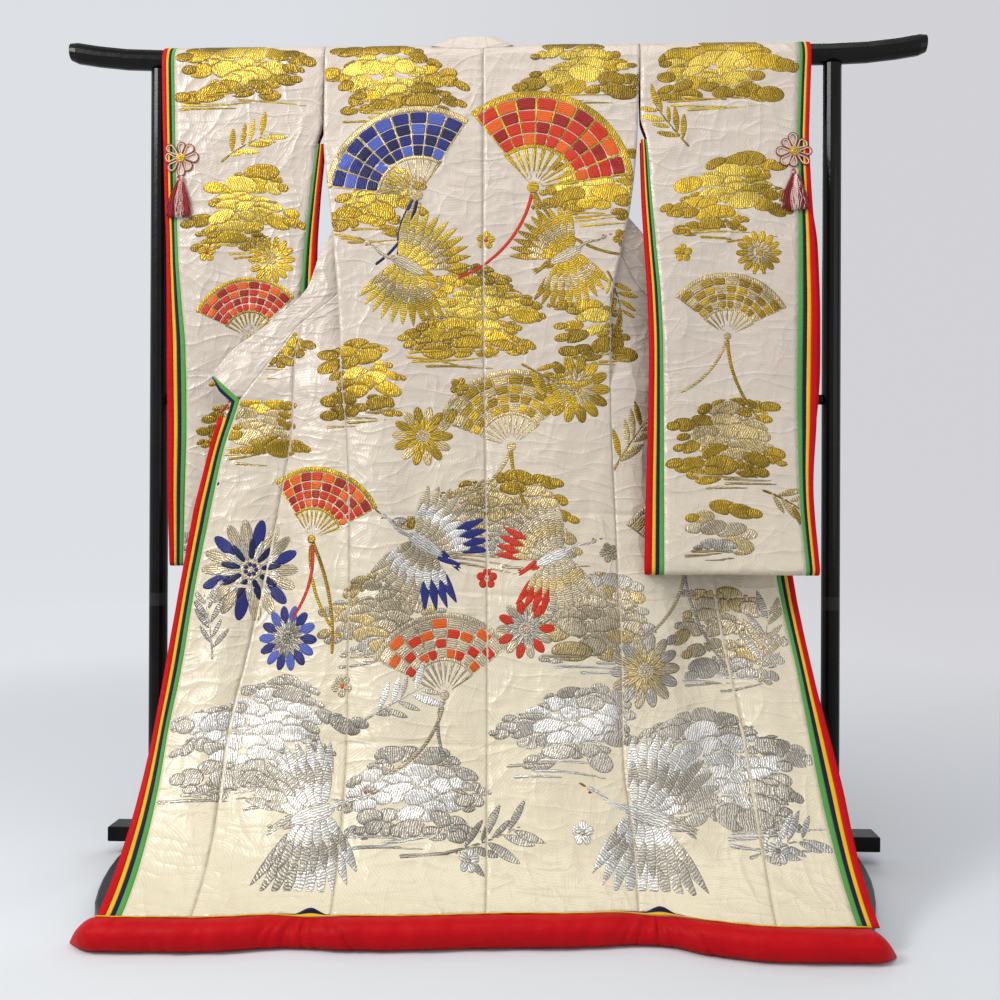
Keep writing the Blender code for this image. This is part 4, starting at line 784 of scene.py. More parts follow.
def bodyCloth(side):
    s = sign[side]
    parts = weaveSteps["outer"], weaveSteps["turn"], weaveSteps["inner"]
    sideColumns = sum(parts)
    neck = weaveSteps["neck"]
    columns = neck + sideColumns + 1
    neckEnd = hang["neckLeft"] if side == "left" else hang["neckRight"]
    pressed = {round(z + 0.003 * k, 4) for z in pressedFolds for k in range(-4, 5)}
    even = clothHeights(hang["hemHeight"], hang["shoulder"], weaveSteps["rows"])
    clear = {z for z in even if min(abs(z - p) for p in pressed) > 0.002}
    heights = np.array(sorted(clear | pressed | {notchHeight, tipHeight, okumiTop, hang["slitTop"]}))
    j = np.arange(columns)

    def across(z):
        centre = float(curve(seamLines, "centre", z)) + s * seamGap / 2
        armhole = float(curve(seamLines, side + "_side", z)) - s * seamGap / 2
        toNeck = (neckEnd - centre) / (armhole - centre)
        pinned = np.where(j <= neck, toNeck * j / neck, toNeck + (1 - toNeck) * (j - neck) / sideColumns)
        even = j / (columns - 1)
        return centre + (armhole - centre) * (even + (pinned - even) * ease((z - 1.2) / 0.4))

    rows = [faceAt(across(z), z) for z in heights]
    arc = np.linspace(0, math.pi, weaveSteps["arc"] + 1)[1:-1]
    rows += [overBar(across(hang["shoulder"]), angle) for angle in arc]
    n1, n2, n3 = parts
    for z in heights[::-1]:
        seam = bodyInset(side, z) + seamGap / 2
        full = frontLength(side, z)
        if z < pleat["top"]:
            near = float(ease((z - 0.70) / 0.30))
            even = np.linspace(0, 1, sideColumns + 1)
            folded = np.r_[np.linspace(0, 0.94, n1 + 1), np.linspace(0.94, 1, n2 + n3 + 1)[1:]]
            places = seam + (full - seam) * (even + (folded - even) * near)
        else:
            outer, inner = frontRow(side, z)[2]
            start = min(seam, outer)
            places = np.r_[np.linspace(start, outer, n1 + 1), np.linspace(outer, inner, n2 + 1)[1:],
                           np.linspace(inner, full, n3 + 1)[1:]]
            places = np.maximum(places, seam)
        rows.append(onFront(side, z, np.r_[[places[0]] * neck, places]))
    points = np.array(rows)
    count = len(heights)
    keep = np.ones((len(rows), columns - 1), bool)
    keep[count + 3:, :neck] = False
    return clothShell(labelFor("body", side, "Cloth"), points, hang["wall"], ("satin", "lining"), s, keep=keep)


def okumiCloth(side):
    columns = 14
    rows = []
    heights = list(clothHeights(hang["hemHeight"], notchHeight, weaveSteps["rows"]))
    heights += list(np.linspace(notchHeight, okumiTop, 16)[1:])
    for z in heights:
        seam = bodyInset(side, z) - seamGap / 2
        edge = collarWidth(z) + (seamGap / 2 if z > notchHeight else 0.0)
        rows.append(onFront(side, z, np.linspace(seam, edge, columns + 1)))
    return clothShell(labelFor("okumi", side, "Cloth"), rows, hang["wall"], ("satin", "lining"), sign[side])


# the collar's turn over each shoulder: angle over the bar, seam in, edge in, edge's y and height
collarTurn = ((2.75, 0.000, 0.046, 0.0300, 1.668), (2.30, 0.000, 0.041, 0.0220, 1.688),
              (1.93, 0.000, 0.037, 0.0120, 1.697), (1.57, 0.000, 0.034, 0.0040, 1.7005),
              (1.15, 0.004, 0.036, -0.0050, 1.7010), (0.86, 0.017, 0.045, -0.0110, 1.7013))
collarBand = {"columns": 26, "step": 0.0055, "wall": 0.0024, "plump": 0.0012, "neckIn": 0.060,
              "stand": 1.701, "neckDepth": -0.0140}


def collarCloth():
    columns = collarBand["columns"]
    share = np.linspace(0, 1, columns + 1)

    def sideRows(side):
        rows = []
        for z in np.linspace(notchHeight + 0.006, 1.640, round(0.694 / collarBand["step"])):
            width = collarWidth(z) - seamGap / 2
            rows.append(onFront(side, z, width * (1 - share)))
        neckEnd = hang["neckLeft"] if side == "left" else hang["neckRight"]
        turns = []
        for angle, seamIn, edgeIn, edgeY, edgeHeight in collarTurn:
            seam = overBar(neckEnd - sign[side] * seamIn, angle) + np.array([0, 0, seamGap])
            edge = np.array([neckEnd - sign[side] * edgeIn, edgeY, edgeHeight])
            turns.append(seam + (edge - seam) * share[:, None])
        fine = [rows[-1]] + turns
        for k in range(len(fine) - 1):
            for t in (1 / 3, 2 / 3, 1.0):
                rows.append(fine[k] + (fine[k + 1] - fine[k]) * t)
        return rows

    left, right = sideRows("left"), sideRows("right")
    back = []
    start, end = hang["neckLeft"] + collarBand["neckIn"], hang["neckRight"] - collarBand["neckIn"]
    nape = overBar(0.0, 0.72)
    for x in np.linspace(start, end, 9):
        seam = np.array([x, nape[1], nape[2] + 2 * seamGap])
        edge = np.array([x, collarBand["neckDepth"], collarBand["stand"]])
        back.append(seam + (edge - seam) * share[:, None])
    points = np.array(left + back + right[::-1])
    # soften the turn over the bar, and plump the band between its seam and its fold
    for _ in range(3):
        middle = slice(len(left) - 16, len(left) + len(back) + 16)
        smoothed = points.copy()
        smoothed[1:-1] = (points[:-2] + 2 * points[1:-1] + points[2:]) / 4
        points[middle] = smoothed[middle]
    return clothShell("collarCloth", points, collarBand["wall"], ("satin", "lining"), -1.0,
                      crown=collarBand["plump"], twoSlots=False)


def bandStrip(name, colour, points, wall, turned, closed=False):
    return clothShell(name, points, wall, (colour,), turned, closed, crown=0.0005, twoSlots=False)


def frontBands(side):
    s = sign[side]
    tip = np.array([float(frontEdge(side, tipHeight)), tipHeight])
    notch = np.array([float(frontEdge(side, notchHeight)), notchHeight])
    below = np.array([float(frontEdge(side, notchHeight - 0.1)), notchHeight - 0.1])

    def outOf(a, b):
        run = (b - a) / np.linalg.norm(b - a)
        return np.array([run[1], -run[0]]) if s < 0 else np.array([-run[1], run[0]])

    first, second = outOf(tip, notch), outOf(notch, below)
    corner = (first + second) / (1 + first @ second)
    width = abs(float(curve(frontEdges, side + "_outer", notchHeight)) - notch[0])

    def onPlane(place):
        return faceAt(place[0], place[1]) + np.array([0, float(liftAt(place[1])), 0])

    made = []
    heights = clothHeights(hang["hemHeight"], notchHeight - 0.012, 0.010)[::-1]
    for name, start, end, wall in bands:
        shares = start + seamGap / width + (end - start - seamGap / width) * np.linspace(0, 1, 5)
        rows = []
        if name in ("green", "navy"):
            for along in np.linspace(0.06, 1.0, 9)[:-1]:
                narrowed = 0.3 + 0.7 * float(ease((along - 0.06) / 0.44))
                bend = first + (corner - first) * float(ease((along - 0.6) / 0.4))
                rows.append([onPlane(tip + (notch - tip) * along + first * seamGap + bend * v * width * narrowed)
                             for v in shares])
            rows.append([onPlane(notch + corner * v * width) for v in shares])
        else:
            rows.append(onFront(side, tiedHeight, -shares * width))
        for z in heights:
            if name not in ("green", "navy") and z > tiedHeight - 0.01:
                continue
            level = abs(float(curve(frontEdges, side + "_outer", z)) - float(frontEdge(side, z)))
            rows.append(onFront(side, z, -shares * level))
        made.append(bandStrip(labelFor("front" + name.capitalize(), side), name, rows, wall, -s))
        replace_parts(made[-1], "front_" + name + "_" + side)
    return made


# sleeves
def sleeveRing(top, step, place):
    low = sleeveFold["low"]
    count = round((min(top, hang["shoulder"]) - low) / step)
    heights = np.linspace(low, min(top, hang["shoulder"]), count + 1)
    rows = [place(z, True, None) for z in heights[::-1]]
    rows += [place(low, True, angle) for angle in np.linspace(0, math.pi, 8)[1:-1]]
    rows += [place(z, False, None) for z in heights]
    if top >= hang["shoulder"]:
        arc = np.linspace(0, math.pi, weaveSteps["arc"] + 1)[1:-1]
        rows += [place(hang["shoulder"] + barArc * a / math.pi, False, None) for a in arc]
    return np.array(rows)


# one row of a sleeve; under is the angle round its bottom turn
def sleeveRow(side, xs, s, rear, under):
    if under is None:
        return sleeveAt(side, xs, s, rear)
    near, far = sleeveAt(side, xs, s), sleeveAt(side, xs, s, True)
    middle, radius = (near + far) / 2, (far[:, 1:2] - near[:, 1:2]) / 2
    direction = np.array([0, math.cos(under), -math.sin(under)])
    return middle + direction * radius


def sleeveCloth(side):
    columns = 26
    share = np.linspace(0, 1, columns + 1)

    def place(s, rear, under):
        z = min(s, hang["shoulder"])
        near, far = (float(sleeveX(side, c, z, rear)) for c in ("body", "cloth"))
        return sleeveRow(side, near + (far - near) * share, s, rear, under)

    points = sleeveRing(hang["shoulder"], weaveSteps["rows"] * 1.1, place)
    return clothShell(labelFor("sleeve", side, "Cloth"), points, hang["wall"], ("satin", "lining"),
                      sign[side], closed=True)


def sleeveBands(side):
    made = []
    for where, inner, outer, top in (("wrist", "cloth", "wrist", hang["shoulder"]),
                                     ("inner", "body", "inner", hang["slitTop"] + 0.002)):
        for name, start, end, wall in bands:
            def place(s, rear, under, start=start, end=end, inner=inner, outer=outer):
                z = min(s, hang["shoulder"])
                near, far = (float(sleeveX(side, c, z, rear)) for c in (inner, outer))
                gap = math.copysign(seamGap, far - near)
                low, high = near + (far - near) * start + gap, near + (far - near) * end
                return sleeveRow(side, np.linspace(low, high, 4), s, rear, under)

            points = sleeveRing(top, 0.014, place)
            outwards = sign[side] if where == "wrist" else -sign[side]
            label = labelFor("sleeve" + where.capitalize() + name.capitalize(), side)
            made.append(bandStrip(label, name, points, wall, outwards, closed=where == "wrist"))
            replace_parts(made[-1], "sleeve_%s_%s_%s" % (where, name, side))
    return made


# the padded hem roll
roll = {"back": 0.0230, "halfDepth": 0.031, "halfHeight": 0.0245, "power": 2.4, "left": -0.677,
        "right": 0.682, "taper": 0.052, "rings": 330, "sides": 36,
        "gathers": ((-0.285, 0.045, 0.10), (0.300, 0.05, 0.12)),
        "edges": (("navy", 54.0, 62.0), ("yellow", 63.0, 72.0)), "loops": {"navy": 0.0150, "yellow": 0.0055}}


def rollAt(x, angle, proud=0.0):
    x, angle = np.broadcast_arrays(np.asarray(x, float), np.asarray(angle, float))
    scale = np.ones_like(x)
    for middle, spread, share in roll["gathers"]:
        scale = scale - share * np.exp(-((x - middle) / spread) ** 2)
    near = np.minimum(x - roll["left"], roll["right"] - x) / roll["taper"]
    scale = scale * np.where(near < 1, np.maximum(1 - (1 - np.minimum(near, 1)) ** 2, 0.03) ** 0.85, 1.0)
    power = 2 / roll["power"]
    cosine = np.sign(np.cos(angle)) * np.abs(np.cos(angle)) ** power
    sine = np.sign(np.sin(angle)) * np.abs(np.sin(angle)) ** power
    y = hang["hemY"] + curve(hemTrail, "back", x, "across") - roll["back"]
    y = y + (roll["halfDepth"] * scale + proud) * cosine
    z = roll["halfHeight"] * scale + (roll["halfHeight"] * scale + proud) * sine
    return np.stack([x, y, z], -1)


def hemRoll():
    x = roll["left"] + (roll["right"] - roll["left"]) * np.linspace(0, 1, roll["rings"] + 1)
    x = x - 0.012 * np.sin(fullTurn * (x - roll["left"]) / (roll["right"] - roll["left"]))
    for middle, _, _ in roll["gathers"]:    # rings closer together at the gathers
        x = x - 0.020 * np.exp(-((x - middle) / 0.045) ** 2) * (x - middle) / 0.045
    angle = np.linspace(0, fullTurn, roll["sides"], endpoint=False)
    places, turns = np.meshgrid(x, angle, indexing="ij")
    front = ease(-np.cos(turns) * 1.2) * ease((np.sin(turns) + 0.75) / 0.5)
    pull = np.zeros_like(places)
    rng = random.Random(5)
    for _ in range(84):
        middle, spread = rng.uniform(-0.66, 0.66), rng.uniform(0.004, 0.011)
        depth, lean = rng.uniform(0.0006, 0.0021), rng.uniform(-0.012, 0.012)
        reach = rng.uniform(0.5, 1.1)
        fade = np.exp(-((turns - rng.uniform(1.7, 3.6)) / reach) ** 2)
        pull -= depth * fade * np.exp(-((places - middle - lean * (turns - 2.4)) / spread) ** 2)
    for middle, _, _ in roll["gathers"]:
        for k in range(-4, 5):
            off = places - middle - k * 0.013 - 0.004 * (turns - 2.0) * k - 0.003 * math.sin(k * 2.3)
            around = turns - 2.5 - 0.4 * math.sin(k * 1.7)
            pull -= ((0.0052 + 0.0016 * math.sin(k * 5.1)) * np.exp(-(off / 0.0040) ** 2)
                     * np.exp(-(around / 1.2) ** 2))
    pull *= ease((turns - 1.20) / 0.45)
    pull += 0.0010 * np.sin(places * 47 + 2 * np.sin(places * 13)) * front
    points = rollAt(places, turns, np.clip(pull, -0.0085, 0.0012))
    points[..., 2] = np.maximum(points[..., 2], 0.0004)
    rings, sides = points.shape[:2]
    faces = [tuple(range(sides)), tuple(range(rings * sides - 1, (rings - 1) * sides - 1, -1))]
    for k in range(rings - 1):
        for j in range(sides):
            after = (j + 1) % sides
            faces.append((k * sides + j, (k + 1) * sides + j, (k + 1) * sides + after, k * sides + after))
    made = addObject("hemRollPad", points.reshape(-1, 3), faces, ("red",))
    mend(made)
    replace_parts(made, "hem_roll")


def hemEdges():
    made = []
    for name, low, high in roll["edges"]:
        x = np.linspace(roll["left"] + 0.045, roll["right"] - 0.045, 220)
        angles = np.radians(np.linspace(low, high, 4))
        rows = []
        for v in x:
            loose = sum(math.exp(-((v - g[0] - 0.006) / 0.020) ** 2) for g in roll["gathers"])
            uneven = 0.0008 * max(0.0, math.sin(v * 23)) + 0.0002 * math.sin(v * 160)
            row = rollAt(v, angles + 0.05 * loose, 0.0016 + uneven)
            row[:, 2] += np.linspace(1.0, 0.0, 4) * roll["loops"][name] * loose
            rows.append(row)
        made.append(bandStrip("hem" + name.capitalize() + "Edge", name, rows, 0.0012, 1.0))
        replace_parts(made[-1], "hem_" + name)
    return made


clothPieces, bandPieces = {}, {}
for side in sign:
    clothPieces["body_" + side] = bodyCloth(side)
    clothPieces["okumi_" + side] = okumiCloth(side)
    clothPieces["sleeve_" + side] = sleeveCloth(side)
    bandPieces["okumi_" + side] = frontBands(side)
    bandPieces["sleeve_" + side] = sleeveBands(side)
clothPieces["collar"] = collarCloth()
for node, piece in clothPieces.items():
    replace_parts(piece, node)
hemRoll()
hemPieces = hemEdges()


# embroidery
thread = {
    "brightGold": (0.88, 0.66, 0.115), "gold": (0.66, 0.45, 0.040), "oldGold": (0.44, 0.29, 0.028),
    "paleGold": (0.66, 0.53, 0.27), "champagne": (0.64, 0.56, 0.41), "silver": (0.58, 0.555, 0.50),
    "whiteSilver": (0.86, 0.87, 0.87), "vermilion": (0.55, 0.026, 0.003), "orange": (0.70, 0.11, 0.006),
    "deepRed": (0.30, 0.008, 0.003), "navy": (0.006, 0.008, 0.060), "cobalt": (0.014, 0.019, 0.155),
    "sky": (0.070, 0.105, 0.42), "white": (0.86, 0.83, 0.78),
}
metals = {"brightGold", "gold", "oldGold", "paleGold", "champagne", "silver", "whiteSilver"}
stitchSizes = {"grid": 0.0050, "fineGrid": 0.0036, "lift": 0.00048, "edge": 0.0019, "overlap": 0.0004,
               "under": 0.0008, "hollow": 0.0006}


def leaf(x, z, a, b, degrees=0.0, pointed=False):
    turn = math.radians(degrees)
    c, s = math.cos(turn), math.sin(turn)

    def inside(px, pz):
        u, v = (px - x) * c + (pz - z) * s, (pz - z) * c - (px - x) * s
        if pointed:
            return b * (1 - (u / a) ** 2) - np.abs(v)
        return (1 - np.sqrt((u / a) ** 2 + (v / b) ** 2)) * min(a, b)

    reach = a if pointed else max(a, b)
    return inside, (x - reach, x + reach, z - reach, z + reach)


def wedge(x, z, r0, r1, a0, a1):
    a0, a1 = math.radians(a0), math.radians(a1)
    middle = (a0 + a1) / 2

    def inside(px, pz):
        r = np.hypot(px - x, pz - z)
        off = np.arctan2(pz - z, px - x) - middle
        off = np.abs((off + math.pi) % fullTurn - math.pi)
        return np.minimum(np.minimum(r - r0, r1 - r), ((a1 - a0) / 2 - off) * r)

    return inside, (x - r1, x + r1, z - r1, z + r1)


def line(points, width, end=None):
    points = np.array(points, float)
    end = width if end is None else end
    lengths = np.r_[0, np.cumsum(np.linalg.norm(np.diff(points, axis=0), axis=1))]

    def inside(px, pz):
        best = np.full(px.shape, -1.0)
        for k in range(len(points) - 1):
            run = points[k + 1] - points[k]
            t = np.clip(((px - points[k, 0]) * run[0] + (pz - points[k, 1]) * run[1]) / (run @ run), 0, 1)
            away = np.hypot(px - points[k, 0] - run[0] * t, pz - points[k, 1] - run[1] * t)
            share = (lengths[k] + t * (lengths[k + 1] - lengths[k])) / lengths[-1]
            best = np.maximum(best, (width + (end - width) * share) / 2 - away)
        return best

    w = max(width, end)
    return inside, (points[:, 0].min() - w, points[:, 0].max() + w, points[:, 1].min() - w,
                    points[:, 1].max() + w)


def curl(x, z, degrees, length, bend, steps=14):
    points, turn = [(x, z)], math.radians(degrees)
    for k in range(steps):
        x, z = x + math.cos(turn) * length / steps, z + math.sin(turn) * length / steps
        turn += math.radians(bend) / steps
        points.append((x, z))
    return points


def patch(shape, colour, grain=90.0, lift=1.0, fine=False):
    inside, box = shape
    return {"inside": inside, "box": box, "colour": colour, "grain": grain, "lift": lift, "fine": fine}


# the metals by height: each row's lowest height, then the least nearness to a cloud's heart for each
anyAmount = -math.inf
metalRows = ((1.18, ((0.52, "brightGold"), (0.30, "gold"), (anyAmount, "oldGold"))),
             (0.92, ((0.66, "brightGold"), (0.38, "gold"), (anyAmount, "oldGold"))),
             (0.70, ((0.42, "paleGold"), (anyAmount, "oldGold"))),
             (0.44, ((0.42, "champagne"), (0.20, "paleGold"), (anyAmount, "silver"))),
             (anyAmount, ((0.46, "whiteSilver"), (anyAmount, "silver"))))


def goldAt(z, rng, heart=0.5):
    near = heart + rng.uniform(-0.16, 0.16)
    row = next(metals for floor, metals in metalRows if z > floor)
    return next(metal for least, metal in row if near > least)


def cloud(x, z, width, height, seed):
    rng = random.Random(seed)
    made = []
    tiers = max(3, round(height / 0.019))
    drift = rng.uniform(-0.10, 0.10) * width
    for tier in range(tiers):
        down = tier / (tiers - 1)
        reach = width / 2 * (0.40 + 0.60 * math.sin(math.pi * (0.14 + 0.62 * down))) * rng.uniform(0.62, 1.10)
        level = z + height / 2 - height * down
        shift = drift * (1 - 2 * down) + rng.uniform(-0.12, 0.12) * width
        count = max(3, round(2 * reach / 0.029))
        order = list(range(count))
        rng.shuffle(order)
        for k in order:
            along = (k + 0.5) / count * 2 - 1
            size = rng.choice((0.72, 0.9, 1.0, 1.15)) * (1.0 if abs(along) < 0.7 else 0.85)
            a, b = rng.uniform(0.026, 0.034) * size, rng.uniform(0.0135, 0.0175) * size
            px = x + shift + along * reach + rng.uniform(-0.008, 0.008)
            pz = level - 0.016 * along * along + rng.uniform(-0.008, 0.008)
            tilt = -16 * along + rng.uniform(-16, 16)
            heart = 1 - math.hypot((px - x - drift * 0.4) / width, (pz - z) / height) * 1.5
            made.append(patch(leaf(px, pz, a, b, tilt), goldAt(pz, rng, heart), 90 + rng.uniform(-30, 30)))
            if abs(along) > 0.60 and rng.random() < 0.8:
                tip = math.copysign(1, along)
                wisp = leaf(px + tip * a * 0.86, pz + rng.uniform(-0.008, 0.004), a * 0.60, b * 0.66, tilt)
                made.append(patch(wisp, goldAt(pz, rng, 0.1), 80))
    for k in range(4):
        level = z - height / 2 - 0.014 - 0.009 * k
        start = x + rng.uniform(-0.55, 0.05) * width
        points = curl(start, level, rng.uniform(-6, 6), rng.uniform(0.35, 0.6) * width, rng.uniform(-14, 14))
        made.append(patch(line(points, 0.0062, 0.0030), goldAt(level, rng), 0.0, 0.7, True))
    return made


def crane(x, z, size, aim, wing, body, tail):
    made = []

    def at(along, across):
        turn = math.radians(aim)
        return (x + size * (along * math.cos(turn) - across * math.sin(turn)),
                z + size * (along * math.sin(turn) + across * math.cos(turn)))

    for k, spread in enumerate((-16, 0, 16)):
        feather = leaf(*at(-0.42, 0.02 * (k - 1)), 0.26 * size, 0.040 * size, aim + spread, True)
        made.append(patch(feather, tail, aim, 0.9, True))
    for flip in (1, -1):
        for row, (reach, wide, count, colour) in enumerate(
                ((0.46, 0.074, 10, wing[0]), (0.30, 0.068, 8, wing[1]), (0.17, 0.062, 6, wing[0]))):
            for k in range(count):
                share = k / (count - 1)
                tilt = aim + flip * (152 - 82 * share)
                turn = math.radians(tilt)
                rx, rz = at(-0.16 + 0.30 * share, flip * 0.06)
                long = reach * size * (0.72 + 0.28 * math.sin(math.pi * (0.25 + 0.6 * share)))
                quill = leaf(rx + math.cos(turn) * long * 0.95, rz + math.sin(turn) * long * 0.95,
                             long, wide * size, tilt, True)
                dipped = row == 0 and share < 0.35
                made.append(patch(quill, tail if dipped else colour, tilt + 90, 0.9, True))
    neck = line([at(0.20 + 0.09 * k, 0.035 * math.sin(k * 0.9)) for k in range(6)], 0.062 * size, 0.036 * size)
    trunk = leaf(*at(-0.02, 0.0), 0.30 * size, 0.095 * size, aim)
    head = leaf(*at(0.68, -0.02), 0.055 * size, 0.036 * size, aim)
    beak = leaf(*at(0.79, -0.03), 0.085 * size, 0.014 * size, aim - 6, True)
    crown = leaf(*at(0.685, 0.015), 0.030 * size, 0.016 * size, aim)
    for shape, colour, lift in ((trunk, body, 1.3), (neck, body, 1.1), (head, body, 1.2),
                                (beak, "oldGold", 1.2), (crown, "vermilion", 1.4)):
        made.append(patch(shape, colour, aim, lift, True))
    return made


def fan(x, z, radius, aim, spread, leafColours, metal, trail=()):
    made = []
    ribs = 9
    start, step = aim - spread / 2, spread / ribs
    for points, colour in trail:
        made.append(patch(line(points, 0.0075, 0.006), colour, 0.0, 0.8, True))

    def addRibs(inner, outer, half, lift):
        for k in range(ribs + 1):
            angle = start + step * k
            made.append(patch(wedge(x, z, radius * inner, radius * outer, angle - half, angle + half),
                              metal, angle, lift, True))

    addRibs(0.05, 0.46, step * 0.26, 0.8)
    rings = (0.44, 0.56, 0.68, 0.80, 0.93)
    for k in range(ribs):
        a0, a1 = start + step * k, start + step * (k + 1)
        for n in range(4):
            r0, r1 = rings[n] * radius, rings[n + 1] * radius
            colour = leafColours[(n + (k % 3)) % len(leafColours)]
            made.append(patch(wedge(x, z, r0 + 0.0006, r1 - 0.0006, a0 + 0.5, a1 - 0.5), colour,
                              (a0 + a1) / 2 + 90, 0.8, True))
    addRibs(0.44, 0.95, 0.9, 1.2)
    for inner, outer in ((0.93, 1.0), (0.405, 0.445)):
        band = wedge(x, z, radius * inner, radius * outer, start - 1.2, start + spread + 1.2)
        made.append(patch(band, metal, aim, 1.3, True))
    made.append(patch(leaf(x, z, radius * 0.060, radius * 0.060), metal, 0.0, 1.6, True))
    return made


def chrysanthemum(x, z, radius, petals, outer, inner, heart, metal):
    made = []
    for ring, (reach, length, wide, colours) in enumerate(
            ((0.70, 0.30, 0.98, outer), (0.40, 0.22, 0.92, inner))):
        for k in range(petals):
            angle = 360 / petals * (k + 0.5 * ring)
            turn = math.radians(angle)
            half = math.pi * reach / petals * wide * radius
            petal = leaf(x + math.cos(turn) * reach * radius, z + math.sin(turn) * reach * radius,
                         length * radius, half, angle)
            made.append(patch(petal, colours[k % len(colours)], angle, 1.0, True))
    made.append(patch(leaf(x, z, radius * 0.20, radius * 0.20), metal, 45, 1.3, True))
    for k in range(7):
        turn = fullTurn * k / 7
        seed = leaf(x + math.cos(turn) * radius * 0.10, z + math.sin(turn) * radius * 0.10,
                    radius * 0.045, radius * 0.045)
        made.append(patch(seed, heart, 0.0, 1.7, True))
    return made


def spray(x, z, length, aim, seed, colours=None):
    leaves = 9
    rng = random.Random(seed)
    stem = curl(x, z, aim, length, rng.uniform(-30, 30))
    made = [patch(line(stem, 0.0052, 0.0025), (colours or ("oldGold",))[0], aim, 0.7, True)]
    for k in range(leaves):
        px, pz = stem[2 + int(k * (len(stem) - 3) / leaves)]
        tilt = aim + (38 if k % 2 else -38) + rng.uniform(-12, 12)
        a = length * rng.uniform(0.17, 0.26)
        turn = math.radians(tilt)
        colour = rng.choice(colours) if colours else goldAt(pz, rng)
        blade = leaf(px + math.cos(turn) * a, pz + math.sin(turn) * a, a, a * 0.22, tilt, True)
        made.append(patch(blade, colour, tilt + 90, 0.9, True))
    return made


def blossom(x, z, radius, colour, heart, turn=0.0):
    made = []
    for k in range(5):
        angle = math.radians(90 + 72 * k + turn)
        petal = leaf(x + math.cos(angle) * radius * 0.56, z + math.sin(angle) * radius * 0.56,
                     radius * 0.42, radius * 0.40, math.degrees(angle))
        made.append(patch(petal, colour, math.degrees(angle), 0.9, True))
    made.append(patch(leaf(x, z, radius * 0.22, radius * 0.22), heart, 0.0, 1.4, True))
    return made


def ribbons(x, z, aim, lengths, bends, colours):
    return [(curl(x, z, aim + 16 * (k - 1), length, bend, 18), colour)
            for k, (length, bend, colour) in enumerate(zip(lengths, bends, colours))]


def ribbonFan(x, z, radius, aim, spread, leafColours, metal, down, *trail):
    return fan(x, z, radius, aim, spread, leafColours, metal, ribbons(x, z, down, *trail))


redLeaf = ("orange", "vermilion", "vermilion", "deepRed")
blueLeaf = ("sky", "cobalt", "navy", "cobalt")
goldLeaf = ("paleGold", "oldGold", "gold", "oldGold")
paleLeaf = ("champagne", "paleGold", "champagne", "silver")
warmLeaf = ("orange", "champagne", "vermilion", "champagne")

